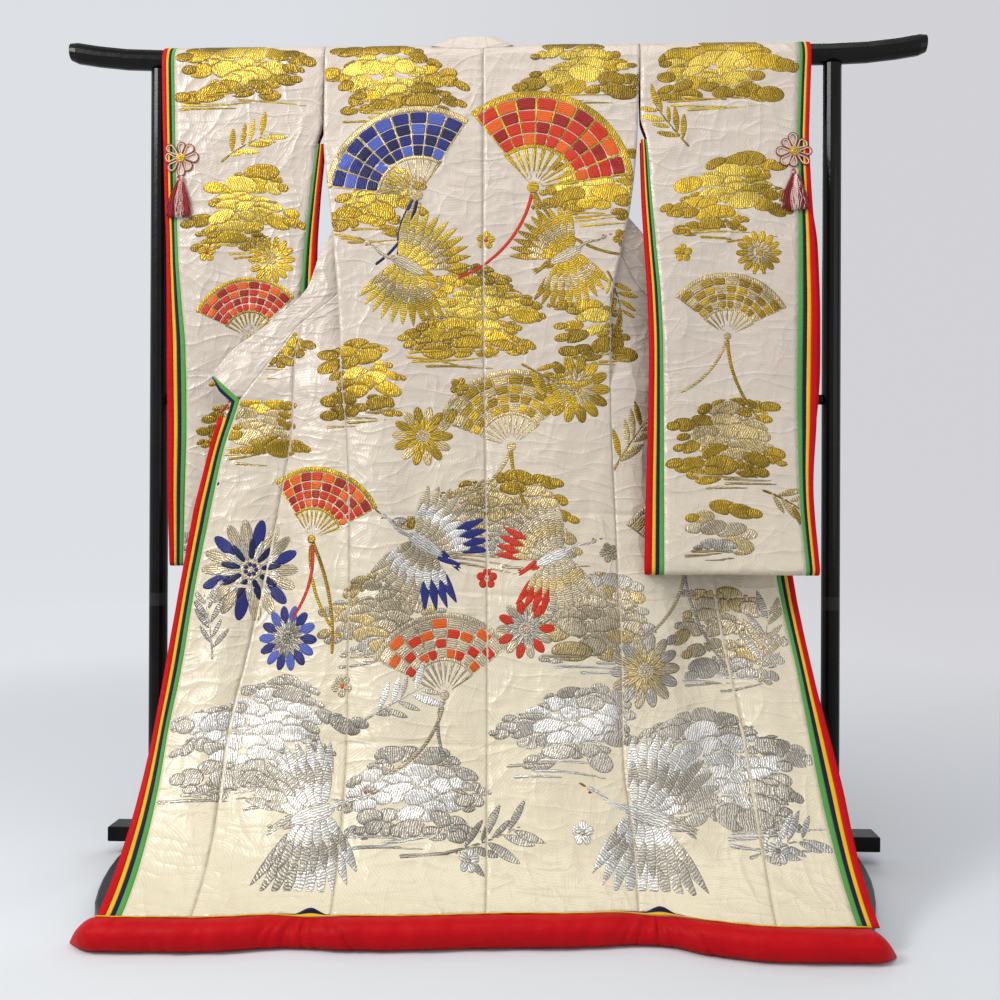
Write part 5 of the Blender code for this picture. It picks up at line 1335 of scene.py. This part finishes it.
# the design in the order in which it is sewn: what is later lies on top
bodyDesign = (
    (cloud, (
        (-0.215, 1.615, 0.26, 0.115, 3), (0.180, 1.635, 0.24, 0.100, 4), (0.215, 1.395, 0.20, 0.120, 5),
        (-0.225, 1.355, 0.20, 0.105, 6), (-0.035, 1.125, 0.30, 0.155, 7), (0.215, 1.090, 0.15, 0.085, 8),
        (-0.245, 0.985, 0.16, 0.120, 9), (0.035, 0.715, 0.32, 0.125, 10), (-0.195, 0.530, 0.20, 0.130, 11),
        (0.205, 0.520, 0.22, 0.125, 12), (0.455, 0.490, 0.20, 0.140, 13), (-0.470, 0.905, 0.17, 0.105, 14),
        (-0.435, 0.300, 0.30, 0.165, 15), (-0.120, 0.215, 0.28, 0.115, 16), (0.165, 0.330, 0.22, 0.105, 17),
        (0.430, 0.250, 0.30, 0.150, 18), (-0.455, 1.060, 0.13, 0.070, 19), (0.470, 0.690, 0.17, 0.075, 20))),
    (ribbonFan, (
        (-0.150, 1.360, 0.190, 116, 116, blueLeaf, "paleGold", -112, (0.20, 0.24, 0.17), (70, 40, -50),
         ("cobalt", "paleGold", "navy")),
        (0.085, 1.375, 0.205, 68, 120, redLeaf, "gold", -84, (0.25, 0.20, 0.28), (-60, 45, 75),
         ("vermilion", "gold", "oldGold")),
        (0.045, 0.845, 0.155, 100, 120, goldLeaf, "paleGold", -90, (0.16, 0.19), (-70, 50),
         ("paleGold", "oldGold")))),
    (chrysanthemum, (
        (0.170, 0.960, 0.070, 14, ("gold", "oldGold"), ("paleGold",), "oldGold", "gold"),
        (-0.130, 0.865, 0.060, 14, ("oldGold", "paleGold"), ("gold",), "paleGold", "paleGold"),
        (-0.470, 0.600, 0.100, 18, ("champagne", "cobalt", "champagne"), ("navy", "silver"), "cobalt",
         "champagne"),
        (-0.385, 0.470, 0.062, 14, ("cobalt", "sky"), ("silver",), "navy", "silver"))),
    (ribbonFan, (
        (-0.345, 0.660, 0.145, 76, 100, redLeaf, "gold", -78, (0.20, 0.16, 0.22), (50, -50, -30),
         ("gold", "vermilion", "oldGold")),
        (-0.075, 0.375, 0.150, 96, 118, warmLeaf, "champagne", -96, (0.13, 0.17), (60, -60),
         ("silver", "champagne")))),
    (chrysanthemum, (
        (0.075, 0.495, 0.056, 14, ("vermilion", "champagne"), ("silver",), "orange", "silver"),)),
    (ribbonFan, (
        (0.385, 0.600, 0.150, 84, 112, paleLeaf, "champagne", -84, (0.17, 0.21), (-60, 40),
         ("champagne", "silver")),)),
    (chrysanthemum, (
        (0.300, 0.420, 0.068, 14, ("champagne", "silver"), ("paleGold",), "champagne", "champagne"),)),
    (crane, (
        (-0.170, 1.215, 0.135, 152, ("brightGold", "paleGold"), "champagne", "gold"),
        (0.155, 1.235, 0.120, 28, ("gold", "paleGold"), "champagne", "oldGold"),
        (-0.125, 0.655, 0.135, 148, ("champagne", "whiteSilver"), "whiteSilver", "cobalt"),
        (0.130, 0.630, 0.120, 24, ("champagne", "paleGold"), "whiteSilver", "vermilion"),
        (0.290, 0.180, 0.150, 160, ("whiteSilver", "silver"), "whiteSilver", "silver"),
        (-0.300, 0.175, 0.140, 20, ("whiteSilver", "silver"), "whiteSilver", "silver"))),
    (spray, (
        (0.235, 1.200, 0.10, -60, 32), (0.065, 1.010, 0.13, -30, 34), (0.245, 0.800, 0.13, 60, 36),
        (-0.060, 0.120, 0.14, 12, 37, ("silver",)), (0.470, 0.120, 0.12, 20, 39, ("whiteSilver",)),
        (-0.220, 0.330, 0.13, 30, 40, ("whiteSilver", "silver")),
        (0.520, 0.400, 0.14, 80, 41, ("champagne", "silver")), (-0.530, 0.430, 0.13, 100, 42, ("silver",)))),
    (blossom, (
        (-0.010, 1.265, 0.020, "gold", "vermilion", -0.010 * 400),
        (0.265, 1.270, 0.020, "gold", "orange", 0.265 * 400),
        (-0.060, 0.965, 0.020, "oldGold", "gold", -0.060 * 400),
        (0.235, 0.640, 0.020, "champagne", "silver", 0.235 * 400),
        (0.000, 0.590, 0.021, "vermilion", "champagne"),
        (-0.270, 0.390, 0.021, "champagne", "orange", -0.270 * 400),
        (-0.560, 0.770, 0.018, "cobalt", "silver", -0.560 * 400),
        (0.180, 0.150, 0.020, "whiteSilver", "silver", 0.180 * 400),
        (-0.020, 0.110, 0.019, "whiteSilver", "silver", -0.020 * 400),
        (0.520, 0.130, 0.020, "whiteSilver", "silver", 0.520 * 400))),
)
sleeveDesign = {
    "left": (
        (cloud, ((-0.515, 1.640, 0.27, 0.100, 51), (-0.510, 1.345, 0.20, 0.130, 52),
                 (-0.500, 0.925, 0.20, 0.120, 53), (-0.520, 0.690, 0.17, 0.075, 54))),
        (ribbonFan, ((-0.500, 1.075, 0.125, 98, 112, redLeaf, "gold", -92, (0.14, 0.17), (60, -40),
                      ("gold", "vermilion")),)),
        (chrysanthemum, ((-0.455, 1.235, 0.050, 14, ("gold",), ("brightGold",), "vermilion", "gold"),)),
        (spray, ((-0.560, 1.440, 0.12, 40, 55), (-0.450, 0.780, 0.13, 200, 56))),
        (blossom, ((-0.590, 1.250, 0.020, "gold", "vermilion"),))),
    "right": (
        (cloud, ((0.465, 1.630, 0.25, 0.105, 61), (0.480, 1.365, 0.20, 0.130, 62),
                 (0.470, 0.870, 0.20, 0.130, 63), (0.455, 0.690, 0.16, 0.065, 64))),
        (ribbonFan, ((0.470, 1.065, 0.130, 84, 114, goldLeaf, "paleGold", -90, (0.15, 0.18), (-50, 40),
                      ("paleGold", "oldGold")),)),
        (chrysanthemum, ((0.535, 1.235, 0.046, 14, ("gold",), ("paleGold",), "oldGold", "gold"),)),
        (spray, ((0.400, 1.460, 0.12, 130, 65), (0.530, 0.760, 0.12, -20, 66))),
        (blossom, ((0.385, 1.235, 0.020, "gold", "oldGold"),))),
}


def motifsOf(design):
    return [motif for draw, rows in design for row in rows for motif in draw(*row)]


# the closed loops round a shape, or none where a loop runs backwards as a hole does
def outline(faces, points):
    edges = {(a, b) for face in faces for a, b in zip(face, face[1:] + face[:1])}
    after = {}
    for a, b in edges:
        if (b, a) not in edges:
            if a in after:
                return None
            after[a] = b
    loops = []
    while after:
        start, k = next(iter(after.items()))
        loop = [start]
        del after[start]
        while k != start:
            loop.append(k)
            k = after.pop(k)
        x, z = points[loop, 0], points[loop, 1]
        if np.sum(x * np.roll(z, -1) - z * np.roll(x, -1)) <= 0:
            return None
        loops.append(loop)
    return loops


# the faces of a flat shape, cut on a grid where the field is above nought
def contour(field, box, step):
    xs = np.arange(box[0] - step, box[1] + 2 * step, step)
    zs = np.arange(box[2] - step, box[3] + 2 * step, step)
    gridX, gridZ = np.meshgrid(xs, zs)
    gridField = field(gridX, gridZ)
    gridField = np.where(np.abs(gridField) < step * 0.02, -step * 0.02, gridField)
    inside = gridField > 0
    if not inside.any():
        return None
    number = np.full(gridField.shape, -1)
    number[inside] = np.arange(inside.sum())
    px, pz, pf = list(gridX[inside]), list(gridZ[inside]), list(gridField[inside])
    corners = inside[:-1, :-1].astype(int) + inside[:-1, 1:] + inside[1:, 1:] + inside[1:, :-1]
    rows, columns = np.nonzero(corners == 4)
    faces = np.stack([number[rows, columns], number[rows, columns + 1], number[rows + 1, columns + 1],
                      number[rows + 1, columns]], 1).tolist()
    crossings = {}
    around = ((0, 0), (0, 1), (1, 1), (1, 0))
    for i, j in zip(*np.nonzero((corners > 0) & (corners < 4))):
        face = []
        for k in range(4):
            a = (i + around[k][0], j + around[k][1])
            b = (i + around[(k + 1) % 4][0], j + around[(k + 1) % 4][1])
            if inside[a]:
                face.append(int(number[a]))
            if inside[a] != inside[b]:
                key = (a, b) if a < b else (b, a)
                if key not in crossings:
                    t = gridField[a] / (gridField[a] - gridField[b])
                    crossings[key] = len(px)
                    px.append(gridX[a] + (gridX[b] - gridX[a]) * t)
                    pz.append(gridZ[a] + (gridZ[b] - gridZ[a]) * t)
                    pf.append(0.0)
                face.append(crossings[key])
        if len(face) > 2:
            faces.append(face)
    return np.array(px), np.array(pz), np.array(pf), faces


# whether a piece's underside can be one flat face without dipping through the cloth
def liesFlat(on, rim):
    middle = on[rim].mean(0)
    away = (on - middle) @ np.linalg.svd(on[rim] - middle)[2][2]
    return float(np.abs(away).max()) < stitchSizes["hollow"]


# all motifs of one panel as one raised piece; a later motif cuts away what is under it
def embroider(name, motifs, place, limits, facing=1.0):
    boxes = np.array([m["box"] for m in motifs])
    top, low, faces, slots, total = [], [], [], [], 0
    for n, motif in enumerate(motifs):
        box = motif["box"]
        later = [motifs[k] for k in range(n + 1, len(motifs))
                 if boxes[k, 0] < box[1] and boxes[k, 1] > box[0] and boxes[k, 2] < box[3]
                 and boxes[k, 3] > box[2]]

        def field(x, z, motif=motif, later=later):
            found = np.minimum(motif["inside"](x, z), limits(x, z))
            for other in later:
                found = np.minimum(found, stitchSizes["overlap"] - other["inside"](x, z))
            return found

        made = contour(field, box, stitchSizes["fineGrid" if motif["fine"] else "grid"])
        if made is None:
            continue
        px, pz, pf, own = made
        loops = outline(own, np.stack([px, pz], 1))
        if loops is not None and not liesFlat(place(px, pz), sorted({k for loop in loops for k in loop})):
            loops = None
        edge = list(range(len(px))) if loops is None else [k for loop in loops for k in loop]
        metal = motif["colour"] in metals
        turn = math.radians(motif["grain"])
        along, across = px * math.cos(turn) + pz * math.sin(turn), pz * math.cos(turn) - px * math.sin(turn)
        base = np.array(thread[motif["colour"]]) * random.Random(n * 7 + 1).uniform(0.92, 1.06)
        # metals take painted reflection: lighter and darker in broad waves
        paintedShine = paintedShineAt(px, pz) if metal else 1.0 + 0 * px
        row = np.stack([px, pz, pf, stitchSizes["lift"] * motif["lift"] + 0 * px, across + n * 0.37,
                        along + n * 0.21, *(np.clip(base[:, None] * paintedShine, 0, 1))], 1)
        under = dict(zip(edge, range(total + len(px), total + len(px) + len(edge))))
        top.append(row)
        low.append(row[edge])
        fresh = [[k + total for k in face] for face in own]
        bottoms = own if loops is None else loops
        fresh += [[under[k] for k in reversed(face)] for face in bottoms]
        edges = {(a, b) for face in own for a, b in zip(face, face[1:] + face[:1])}
        fresh += [[b + total, a + total, under[a], under[b]] for a, b in edges if (b, a) not in edges]
        faces += fresh if facing > 0 else [face[::-1] for face in fresh]
        slots += [0 if metal else 1] * len(fresh)
        total += len(px) + len(edge)
    table = np.concatenate([part for pair in zip(top, low) for part in pair])
    isTop = np.concatenate([np.full(len(part), part is a) for a, b in zip(top, low) for part in (a, b)])
    x, s, inside, lift = table[:, 0], table[:, 1], table[:, 2], table[:, 3]
    on, normals = place(x, s), normalsAt(place, x, s) * facing
    share = np.clip(inside / stitchSizes["edge"], 0, 1)
    height = np.where(isTop, lift * np.sqrt(1 - (1 - share) ** 2), -stitchSizes["under"])
    return addObject(name, on + normals * height[:, None], faces, ("metal", "floss"), slots,
                     {"stitch": table[:, 4:6]}, table[:, 6:9], {"rim": inside})


# painted reflection: metal thread colours made lighter and darker in broad waves, standing in for the changing
# glint of flat metal
def paintedShineAt(x, z):
    wave = np.sin(x * 17 + 1.9 * np.sin(z * 9.5 + 0.6)) * np.sin(z * 21 + 2.2 * np.sin(x * 8.0 + 1.1))
    small = np.sin(x * 47 + 2 * np.sin(z * 31)) * np.sin(z * 55 + 2 * np.sin(x * 39))
    return np.clip(0.80 + 0.26 * wave + 0.12 * small, 0.45, 1.12)


# how near to its panel's edges the stitching may come: the panel's foot and top, and the collar's seam
seamMargin = 0.0007
limitSizes = {"bodyFoot": 0.068, "bodyTop": 1.752, "tipWidth": 0.10, "collar": 0.002, "okumi": 0.01,
              "sleeveFoot": 0.625, "sleeveTop": 0.0004}


def bodyLimits(side, part):
    s = sign[side]

    def limits(x, z):
        centre = curve(seamLines, "centre", z)
        seam = curve(seamLines, side + "_side", z)
        okumi = curve(seamLines, side + "_okumi", np.minimum(z, okumiTop))
        edge = frontEdge(side, np.minimum(z, 1.6))
        collar = np.where(z > tipHeight, curve(collarLine, "width", z),
                          np.where(z > notchHeight, limitSizes["tipWidth"], 0.0))
        toCollar = (edge - x) * s - collar
        if part == "back":
            found = np.minimum((x - centre) * s, (seam - x) * s)
        elif part == "wing":
            limit = np.where(z > okumiTop, toCollar, (okumi - x) * s)
            limit = np.where((z <= okumiTop) & (z > notchHeight), np.minimum(limit, toCollar), limit)
            found = np.minimum((x - seam) * s, limit)
        else:
            found = np.minimum((x - okumi) * s, toCollar - limitSizes["collar"])
            found = np.where(z > okumiTop - limitSizes["okumi"], -1.0, found)
        found = np.minimum(np.minimum(found, z - limitSizes["bodyFoot"]), limitSizes["bodyTop"] - z)
        return found - seamMargin

    return limits


def wingAt(side):
    def place(x, z):
        low = faceAt(x, z)
        gap, _ = turnGap(side, z)
        high = legAt(x, z)
        high = high + np.stack([gap * 0, 2 * gap, gap * 0], -1)
        return np.where((np.asarray(z) > pleat["top"] - pleat["ramp"])[..., None], high, low)

    return place


def sleeveLimits(side, rear):
    s = sign[side]

    def limits(x, z):
        level = np.minimum(z, hang["shoulder"])
        near, far = sleeveX(side, "body", level, rear), sleeveX(side, "cloth", level, rear)
        found = np.minimum((x - near) * s, (far - x) * s)
        top = hang["shoulder"] + barArc * 0.5 - limitSizes["sleeveTop"]
        return np.minimum(np.minimum(found, z - limitSizes["sleeveFoot"]), top - z) - seamMargin

    return limits


threadWork = {kind + "_" + side: [] for kind in ("body", "okumi", "sleeve") for side in sign}
allBody = motifsOf(bodyDesign)
for side in sign:
    s = sign[side]
    mine = [m for m in allBody if (m["box"][0] < 0.03 if s < 0 else m["box"][1] > -0.03)]
    outer = [m for m in mine if (m["box"][0] < -0.2 if s < 0 else m["box"][1] > 0.2)]
    for kind, part, motifs, place in (("body_", "back", mine, backAt), ("body_", "wing", outer, wingAt(side)),
                                      ("okumi_", "okumi", outer, wingAt(side))):
        threadWork[kind + side].append(embroider(labelFor("stitching", side, part.capitalize()), motifs, place,
                                                 bodyLimits(side, part)))
    motifs = motifsOf(sleeveDesign[side])
    for rear in (False, True):
        def onSleeve(x, z, side=side, rear=rear):
            return sleeveAt(side, x, z, rear)

        label = labelFor("stitchingSleeve", side, "Rear" if rear else "Front")
        threadWork["sleeve_" + side].append(embroider(label, motifs, onSleeve, sleeveLimits(side, rear),
                                                      -1.0 if rear else 1.0))
print("embroidery made")


# flower knots and tassels
knot = {"loops": 8, "radius": 0.036, "cord": 0.0017, "petal": 0.00795, "valley": 0.0115,
        "petalSteps": 22, "valleySteps": 10, "clear": {"left": 0.0002, "right": 0.0006}, "height": 1.447,
        "middle": {"left": -0.646, "right": 0.612}}
tassel = {"length": 0.088, "head": 0.012, "half": 0.0085, "strands": 96, "proud": 0.0042, "binds": 5,
          "bindRadius": 0.0032, "bindCord": 0.00058, "bindFoot": 0.0022, "bindStep": 0.0011,
          "headRadii": (0.0012, 0.0026, 0.0034, 0.0037, 0.0034, 0.0030, 0.0029, 0.0032, 0.0034)}
# each tuft's place across, flare and its spread, sway, and share of pale strands
tufts = ((-0.45, -0.0145, 0.0070, 0.4, 0.0), (0.10, -0.0035, 0.0065, 1.0, 0.92), (0.45, 0.0085, 0.0080, 1.2, 0.16))
cordColours = {"pale": (0.86, 0.62, 0.50), "dark": (0.20, 0.045, 0.026), "red": (0.36, 0.004, 0.010),
               "crimson": (0.22, 0.002, 0.010), "white": (0.84, 0.76, 0.72), "pink": (0.78, 0.40, 0.34),
               "gold": (0.58, 0.41, 0.045)}


def beforeSleeve(side, x, z, proud):
    on = sleeveAt(side, x, z)
    return on - np.stack([0 * on[..., 0], knot["clear"][side] + proud + 0 * on[..., 0], 0 * on[..., 0]], -1)


def flowerLine(side):
    half = math.pi / knot["loops"]
    petalAt = knot["radius"] - knot["cord"] - knot["petal"]
    gap = petalAt * math.sin(half) - knot["petal"]
    points = []
    start = 0.6 if side == "left" else 3.1
    for loop in range(knot["loops"]):
        pulled, broad = 0.10 * math.sin(loop * 2.4 + start), 1 + 0.17 * math.sin(loop * 1.7 + start * 2)
        axis = 2 * half * loop
        turned = [((math.pi / 2 + half) * (2 * k / (knot["petalSteps"] - 1) - 1), 0)
                  for k in range(knot["petalSteps"])]
        turned += [(math.pi * k / (knot["valleySteps"] - 1), 1) for k in range(knot["valleySteps"])]
        for angle, valley in turned:
            if valley:
                along, across, aim = knot["valley"] - gap * math.sin(angle), -gap * math.cos(angle), axis + half
            else:
                along = petalAt + knot["petal"] * math.cos(angle)
                out = float(ease((along - 0.016) / 0.012))
                across, aim = knot["petal"] * math.sin(angle) * (1 + (broad - 1) * out), axis
                along, across = along * (1 + pulled * out), across + 0.0022 * pulled * 8 * out
            points.append((along * math.cos(aim) - across * math.sin(aim),
                           along * math.sin(aim) + across * math.cos(aim)))
    return np.array(points)


# a tube of cord, with lengths and turns for its twist
def tubeAlong(points, radii, sides=6, closed=False, up=(0, -1, 0)):
    points = np.asarray(points, float)
    count = len(points)
    if closed:
        run = np.roll(points, -1, 0) - np.roll(points, 1, 0)
    else:
        run = np.gradient(points, axis=0)
    run /= np.linalg.norm(run, axis=1, keepdims=True)
    first = np.cross(run, np.array(up, float))
    first /= np.linalg.norm(first, axis=1, keepdims=True)
    second = np.cross(first, run)
    angles = fullTurn * np.arange(sides) / sides
    radii = np.broadcast_to(radii, (count,))[:, None, None]
    ring = first[:, None] * np.cos(angles)[None, :, None] + second[:, None] * np.sin(angles)[None, :, None]
    made = (points[:, None] + ring * radii).reshape(-1, 3)
    steps = np.r_[0, np.cumsum(np.linalg.norm(np.diff(points, axis=0), axis=1))]
    uv = np.stack(np.broadcast_arrays(steps[:, None], np.arange(sides)[None] / sides), -1).reshape(-1, 2)
    faces = []
    for k in range(count if closed else count - 1):
        low, high = k * sides, (k + 1) % count * sides
        for j in range(sides):
            after = (j + 1) % sides
            faces.append((low + j, high + j, high + after, low + after))
    if not closed:
        faces.append(tuple(range(sides)))
        faces.append(tuple(reversed(range((count - 1) * sides, count * sides))))
    return made, faces, uv


def joinTubes(name, tubes):
    points, faces, uvs, colours, total = [], [], [], [], 0
    for (made, own, uv), colour in tubes:
        points.append(made)
        uvs.append(uv)
        colours.append(np.broadcast_to(colour, (len(made), 3)) if np.ndim(colour) == 1 else colour)
        faces += [tuple(k + total for k in face) for face in own]
        total += len(made)
    return addObject(name, np.concatenate(points), faces, ("cord",), None,
                     {"cord": np.concatenate(uvs)}, np.concatenate(colours))


def flowerKnot(side):
    middle, line = knot["middle"][side], flowerLine(side)
    run = np.roll(line, -1, 0) - np.roll(line, 1, 0)
    run /= np.linalg.norm(run, axis=1, keepdims=True)
    outward = np.stack([run[:, 1], -run[:, 0]], 1)
    tubes = []
    for shift, radius, proud, colour in ((0.00125, 0.00120, 0.0014, "dark"),
                                         (-0.00085, 0.00115, 0.0015, "pale")):
        u, w = (line + outward * shift).T
        lift = proud + 0.0004 * np.sin(np.arange(len(line)) * 0.41)
        path = beforeSleeve(side, middle + u, knot["height"] + w, lift)
        tubes.append((tubeAlong(path, radius, 8, True), np.array(cordColours[colour])))
    return joinTubes(labelFor("flower", side, "Knot"), tubes)


def knotHeart(side):
    rings = ((0.0, 0.0064), (0.0030, 0.0063), (0.0058, 0.0058), (0.0078, 0.0050), (0.0091, 0.0042),
             (0.0094, 0.0035))
    sides = 28
    points, stitches = [], []
    for radius, proud in rings:
        for j in range(sides):
            angle = fullTurn * j / sides
            wound = proud + (0.00022 * math.sin(7 * angle + radius * 900) if 0.001 < radius < 0.0094 else 0)
            points.append(beforeSleeve(side, knot["middle"][side] + radius * math.cos(angle),
                                       knot["height"] + radius * math.sin(angle), wound))
            stitches.append((radius, angle * 0.006))
    faces = [tuple(reversed(range(len(points) - sides, len(points))))]
    for k in range(len(rings) - 1):
        for j in range(sides):
            after = (j + 1) % sides
            low, high = k * sides, (k + 1) * sides
            faces.append((low + after, low + j, high + j, high + after) if k else
                         (low, high + j, high + after))
    colours = np.broadcast_to(cordColours["gold"], (len(points), 3))
    made = addObject(labelFor("flower", side, "Heart"), points, faces, ("metal",), None,
                     {"stitch": np.array(stitches)}, colours, {"rim": np.full(len(points), 0.004)})
    mend(made, 0.00002)
    return made


def tasselPiece(side):
    rng = random.Random(17 if side == "left" else 29)
    middle = knot["middle"][side]
    top = knot["height"] - knot["radius"] - knot["cord"] - seamGap
    neck = top - tassel["head"]
    tubes = []
    for across in (-0.45, 0.45):    # two bound heads, side by side
        x = middle + across * tassel["half"]
        z = np.linspace(top, neck - 0.001, len(tassel["headRadii"]))
        path = beforeSleeve(side, x + 0 * z, z, tassel["proud"] + 0 * z)
        headColour = np.array(cordColours["red" if across < 0 else "pink"])
        tubes.append((tubeAlong(path, np.array(tassel["headRadii"]), 12), headColour))
        turn = np.linspace(0, fullTurn, 15)[:-1]
        for k in range(tassel["binds"]):
            level = neck + tassel["bindFoot"] + tassel["bindStep"] * k + 0.0002 * np.sin(turn)
            ring = beforeSleeve(side, x + 0 * turn, level, tassel["proud"] + 0 * turn)
            ring = ring + np.stack([np.cos(turn), np.sin(turn), 0 * turn], -1) * tassel["bindRadius"]
            tubes.append((tubeAlong(ring, tassel["bindCord"], 5, True, (0, 0, 1)), np.array(cordColours["pale"])))
    for n in range(tassel["strands"]):
        place, drift, opening, swing, paleShare = tufts[n % len(tufts)]
        spread, layer = rng.uniform(-1, 1), rng.uniform(0, 1)
        x = middle + (place + 0.28 * spread) * tassel["half"]
        flare = drift + opening * spread
        length = (tassel["length"] - tassel["head"]) * rng.uniform(0.92, 1.0)
        share = np.linspace(0, 1, 12)
        phase, beats = rng.uniform(0, 6.28), rng.uniform(1.2, 3.2)
        sway = (0.0004 + 0.0013 * share) * np.sin(share * beats * 6.28 + phase) * swing
        px = x + flare * np.sin(share * 1.7) + sway
        pz = neck - length * share
        proud = 0.0016 + 0.0066 * layer * (0.45 + 0.55 * np.sin(0.4 + share * 2.2)) + 0.0010 * share
        pale = rng.random() < paleShare
        colour = rng.choice(("white", "white", "pink") if pale else ("red", "crimson", "red"))
        tint = np.array(cordColours[colour]) * rng.uniform(0.85, 1.1)
        tubes.append((tubeAlong(beforeSleeve(side, px, pz, proud), 0.00092 * (1 - 0.25 * share), 5),
                      np.clip(tint, 0, 1)))
    return joinTubes(labelFor("tassel", side, "Strands"), tubes)


for side in sign:
    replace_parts(flowerKnot(side), "knot_" + side)
    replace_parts(knotHeart(side), "knot_heart_" + side)
    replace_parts(tasselPiece(side), "tassel_" + side)
print("knots made")


# each cloth piece, with the stitching and bands on it and the parts it rests on, gathered but not kept
restsOn = {"body": ("top_bar",), "okumi": ("body_{}",), "collar": ("body_left", "body_right"),
           "sleeve": ("top_bar",)}
for node, piece in clothPieces.items():
    kind, _, side = node.partition("_")
    onIt = threadWork.get(node, []) + bandPieces.get(node, [])
    if node == "body_left":
        onIt = onIt + hemPieces
    "hung" if kind != "okumi" else "draped"
    [clothPieces[name.format(side)] if name.format(side) in clothPieces else name
                       for name in restsOn[kind]]


# stand, stage, light and camera
for node in ("top_bar", "mid_rail", "base_rail", "post_left", "post_right", "foot_left", "foot_right"):
    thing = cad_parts[node]
    thing.data.materials.clear()
    thing.data.materials.append(finishes["lacquer"])

stageSizes = {"wallAt": 8.5, "height": 6.0, "curve": 2.2, "sides": 72, "steps": 12}    # round, open above
profile = [(0.6, 0.0), (2.0, 0.0), (4.0, 0.0)]
for k in range(stageSizes["steps"] + 1):
    angle = math.pi / 2 * k / stageSizes["steps"]
    profile.append((stageSizes["wallAt"] - stageSizes["curve"] * (1 - math.sin(angle)),
                    stageSizes["curve"] * (1 - math.cos(angle))))
profile.append((stageSizes["wallAt"], stageSizes["height"]))
sides = stageSizes["sides"]
ring = [fullTurn * k / sides for k in range(sides)]
paper = bpy.data.meshes.new("backdrop")
panels = [tuple(range(sides))]
for row in range(len(profile) - 1):
    low, high = row * sides, (row + 1) * sides
    panels += [(low + k, high + k, high + (k + 1) % sides, low + (k + 1) % sides) for k in range(sides)]
paper.from_pydata([(r * math.cos(a), r * math.sin(a), z) for r, z in profile for a in ring], [], panels)
paper.shade_smooth()
paper.materials.append(paleGround("paleGround", (0.62, 0.645, 0.67), (0.70, 0.72, 0.75),
                                  (0.62, 0.62, 0.65)))
backdrop = bpy.data.objects.new("backdrop", paper)
bpy.context.scene.collection.objects.link(backdrop)
backdrop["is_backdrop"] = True

bpy.context.scene.view_settings.view_transform = "Standard"    # keeps the silks' full colours
world = bpy.data.worlds.new("studio")
bpy.context.scene.world = world
world.use_nodes = True
sky = world.node_tree.nodes["Background"].inputs
sky["Color"].default_value = (0.96, 0.975, 1.0, 1)
sky["Strength"].default_value = 0.50

# name, place, aim, size, power, colour
lamps = (("keyLight", (-2.35, -1.75, 2.8), (0.0, -0.1, 0.85), 1.1, 84.0, (1.0, 0.985, 0.965)),
         ("fillLight", (2.9, -2.3, 1.4), (0.1, 0.0, 0.8), 1.8, 16.0, (0.96, 0.98, 1.0)),
         ("backLight", (1.2, 3.0, 2.6), (0.0, 0.1, 0.8), 1.6, 26.0, (1.0, 0.99, 0.98)),
         ("topLight", (0.2, -1.0, 3.4), (0.0, 0.0, 0.5), 2.0, 30.0, (1.0, 0.99, 0.98)))
for name, place, aim, size, power, colour in lamps:
    light = bpy.data.lights.new(name, "AREA")
    light.shape, light.size, light.energy, light.color = "SQUARE", size, power, colour
    lamp = bpy.data.objects.new(name, light)
    lamp.location = place
    lamp.rotation_euler = (Vector(aim) - Vector(place)).to_track_quat("-Z", "Y").to_euler()
    bpy.context.scene.collection.objects.link(lamp)

view = {"place": (0.1034, -2.3278, 0.7357), "yaw": -0.0357, "pitch": 0.0019, "roll": 0.0038,
        "lens": 41.30}
lens = bpy.data.cameras.new("viewCamera")
lens.sensor_width, lens.lens = 36.0, view["lens"]
camera = bpy.data.objects.new("viewCamera", lens)
forward = Vector((math.sin(view["yaw"]) * math.cos(view["pitch"]),
                  math.cos(view["yaw"]) * math.cos(view["pitch"]), math.sin(view["pitch"])))
camera.location = view["place"]
camera.rotation_mode = "QUATERNION"
camera.rotation_quaternion = forward.to_track_quat("-Z", "Y") @ Quaternion((0, 0, 1), view["roll"])
bpy.context.scene.collection.objects.link(camera)
bpy.context.scene.camera = camera
bpy.context.view_layer.update()
print("stage set")

low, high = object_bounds()
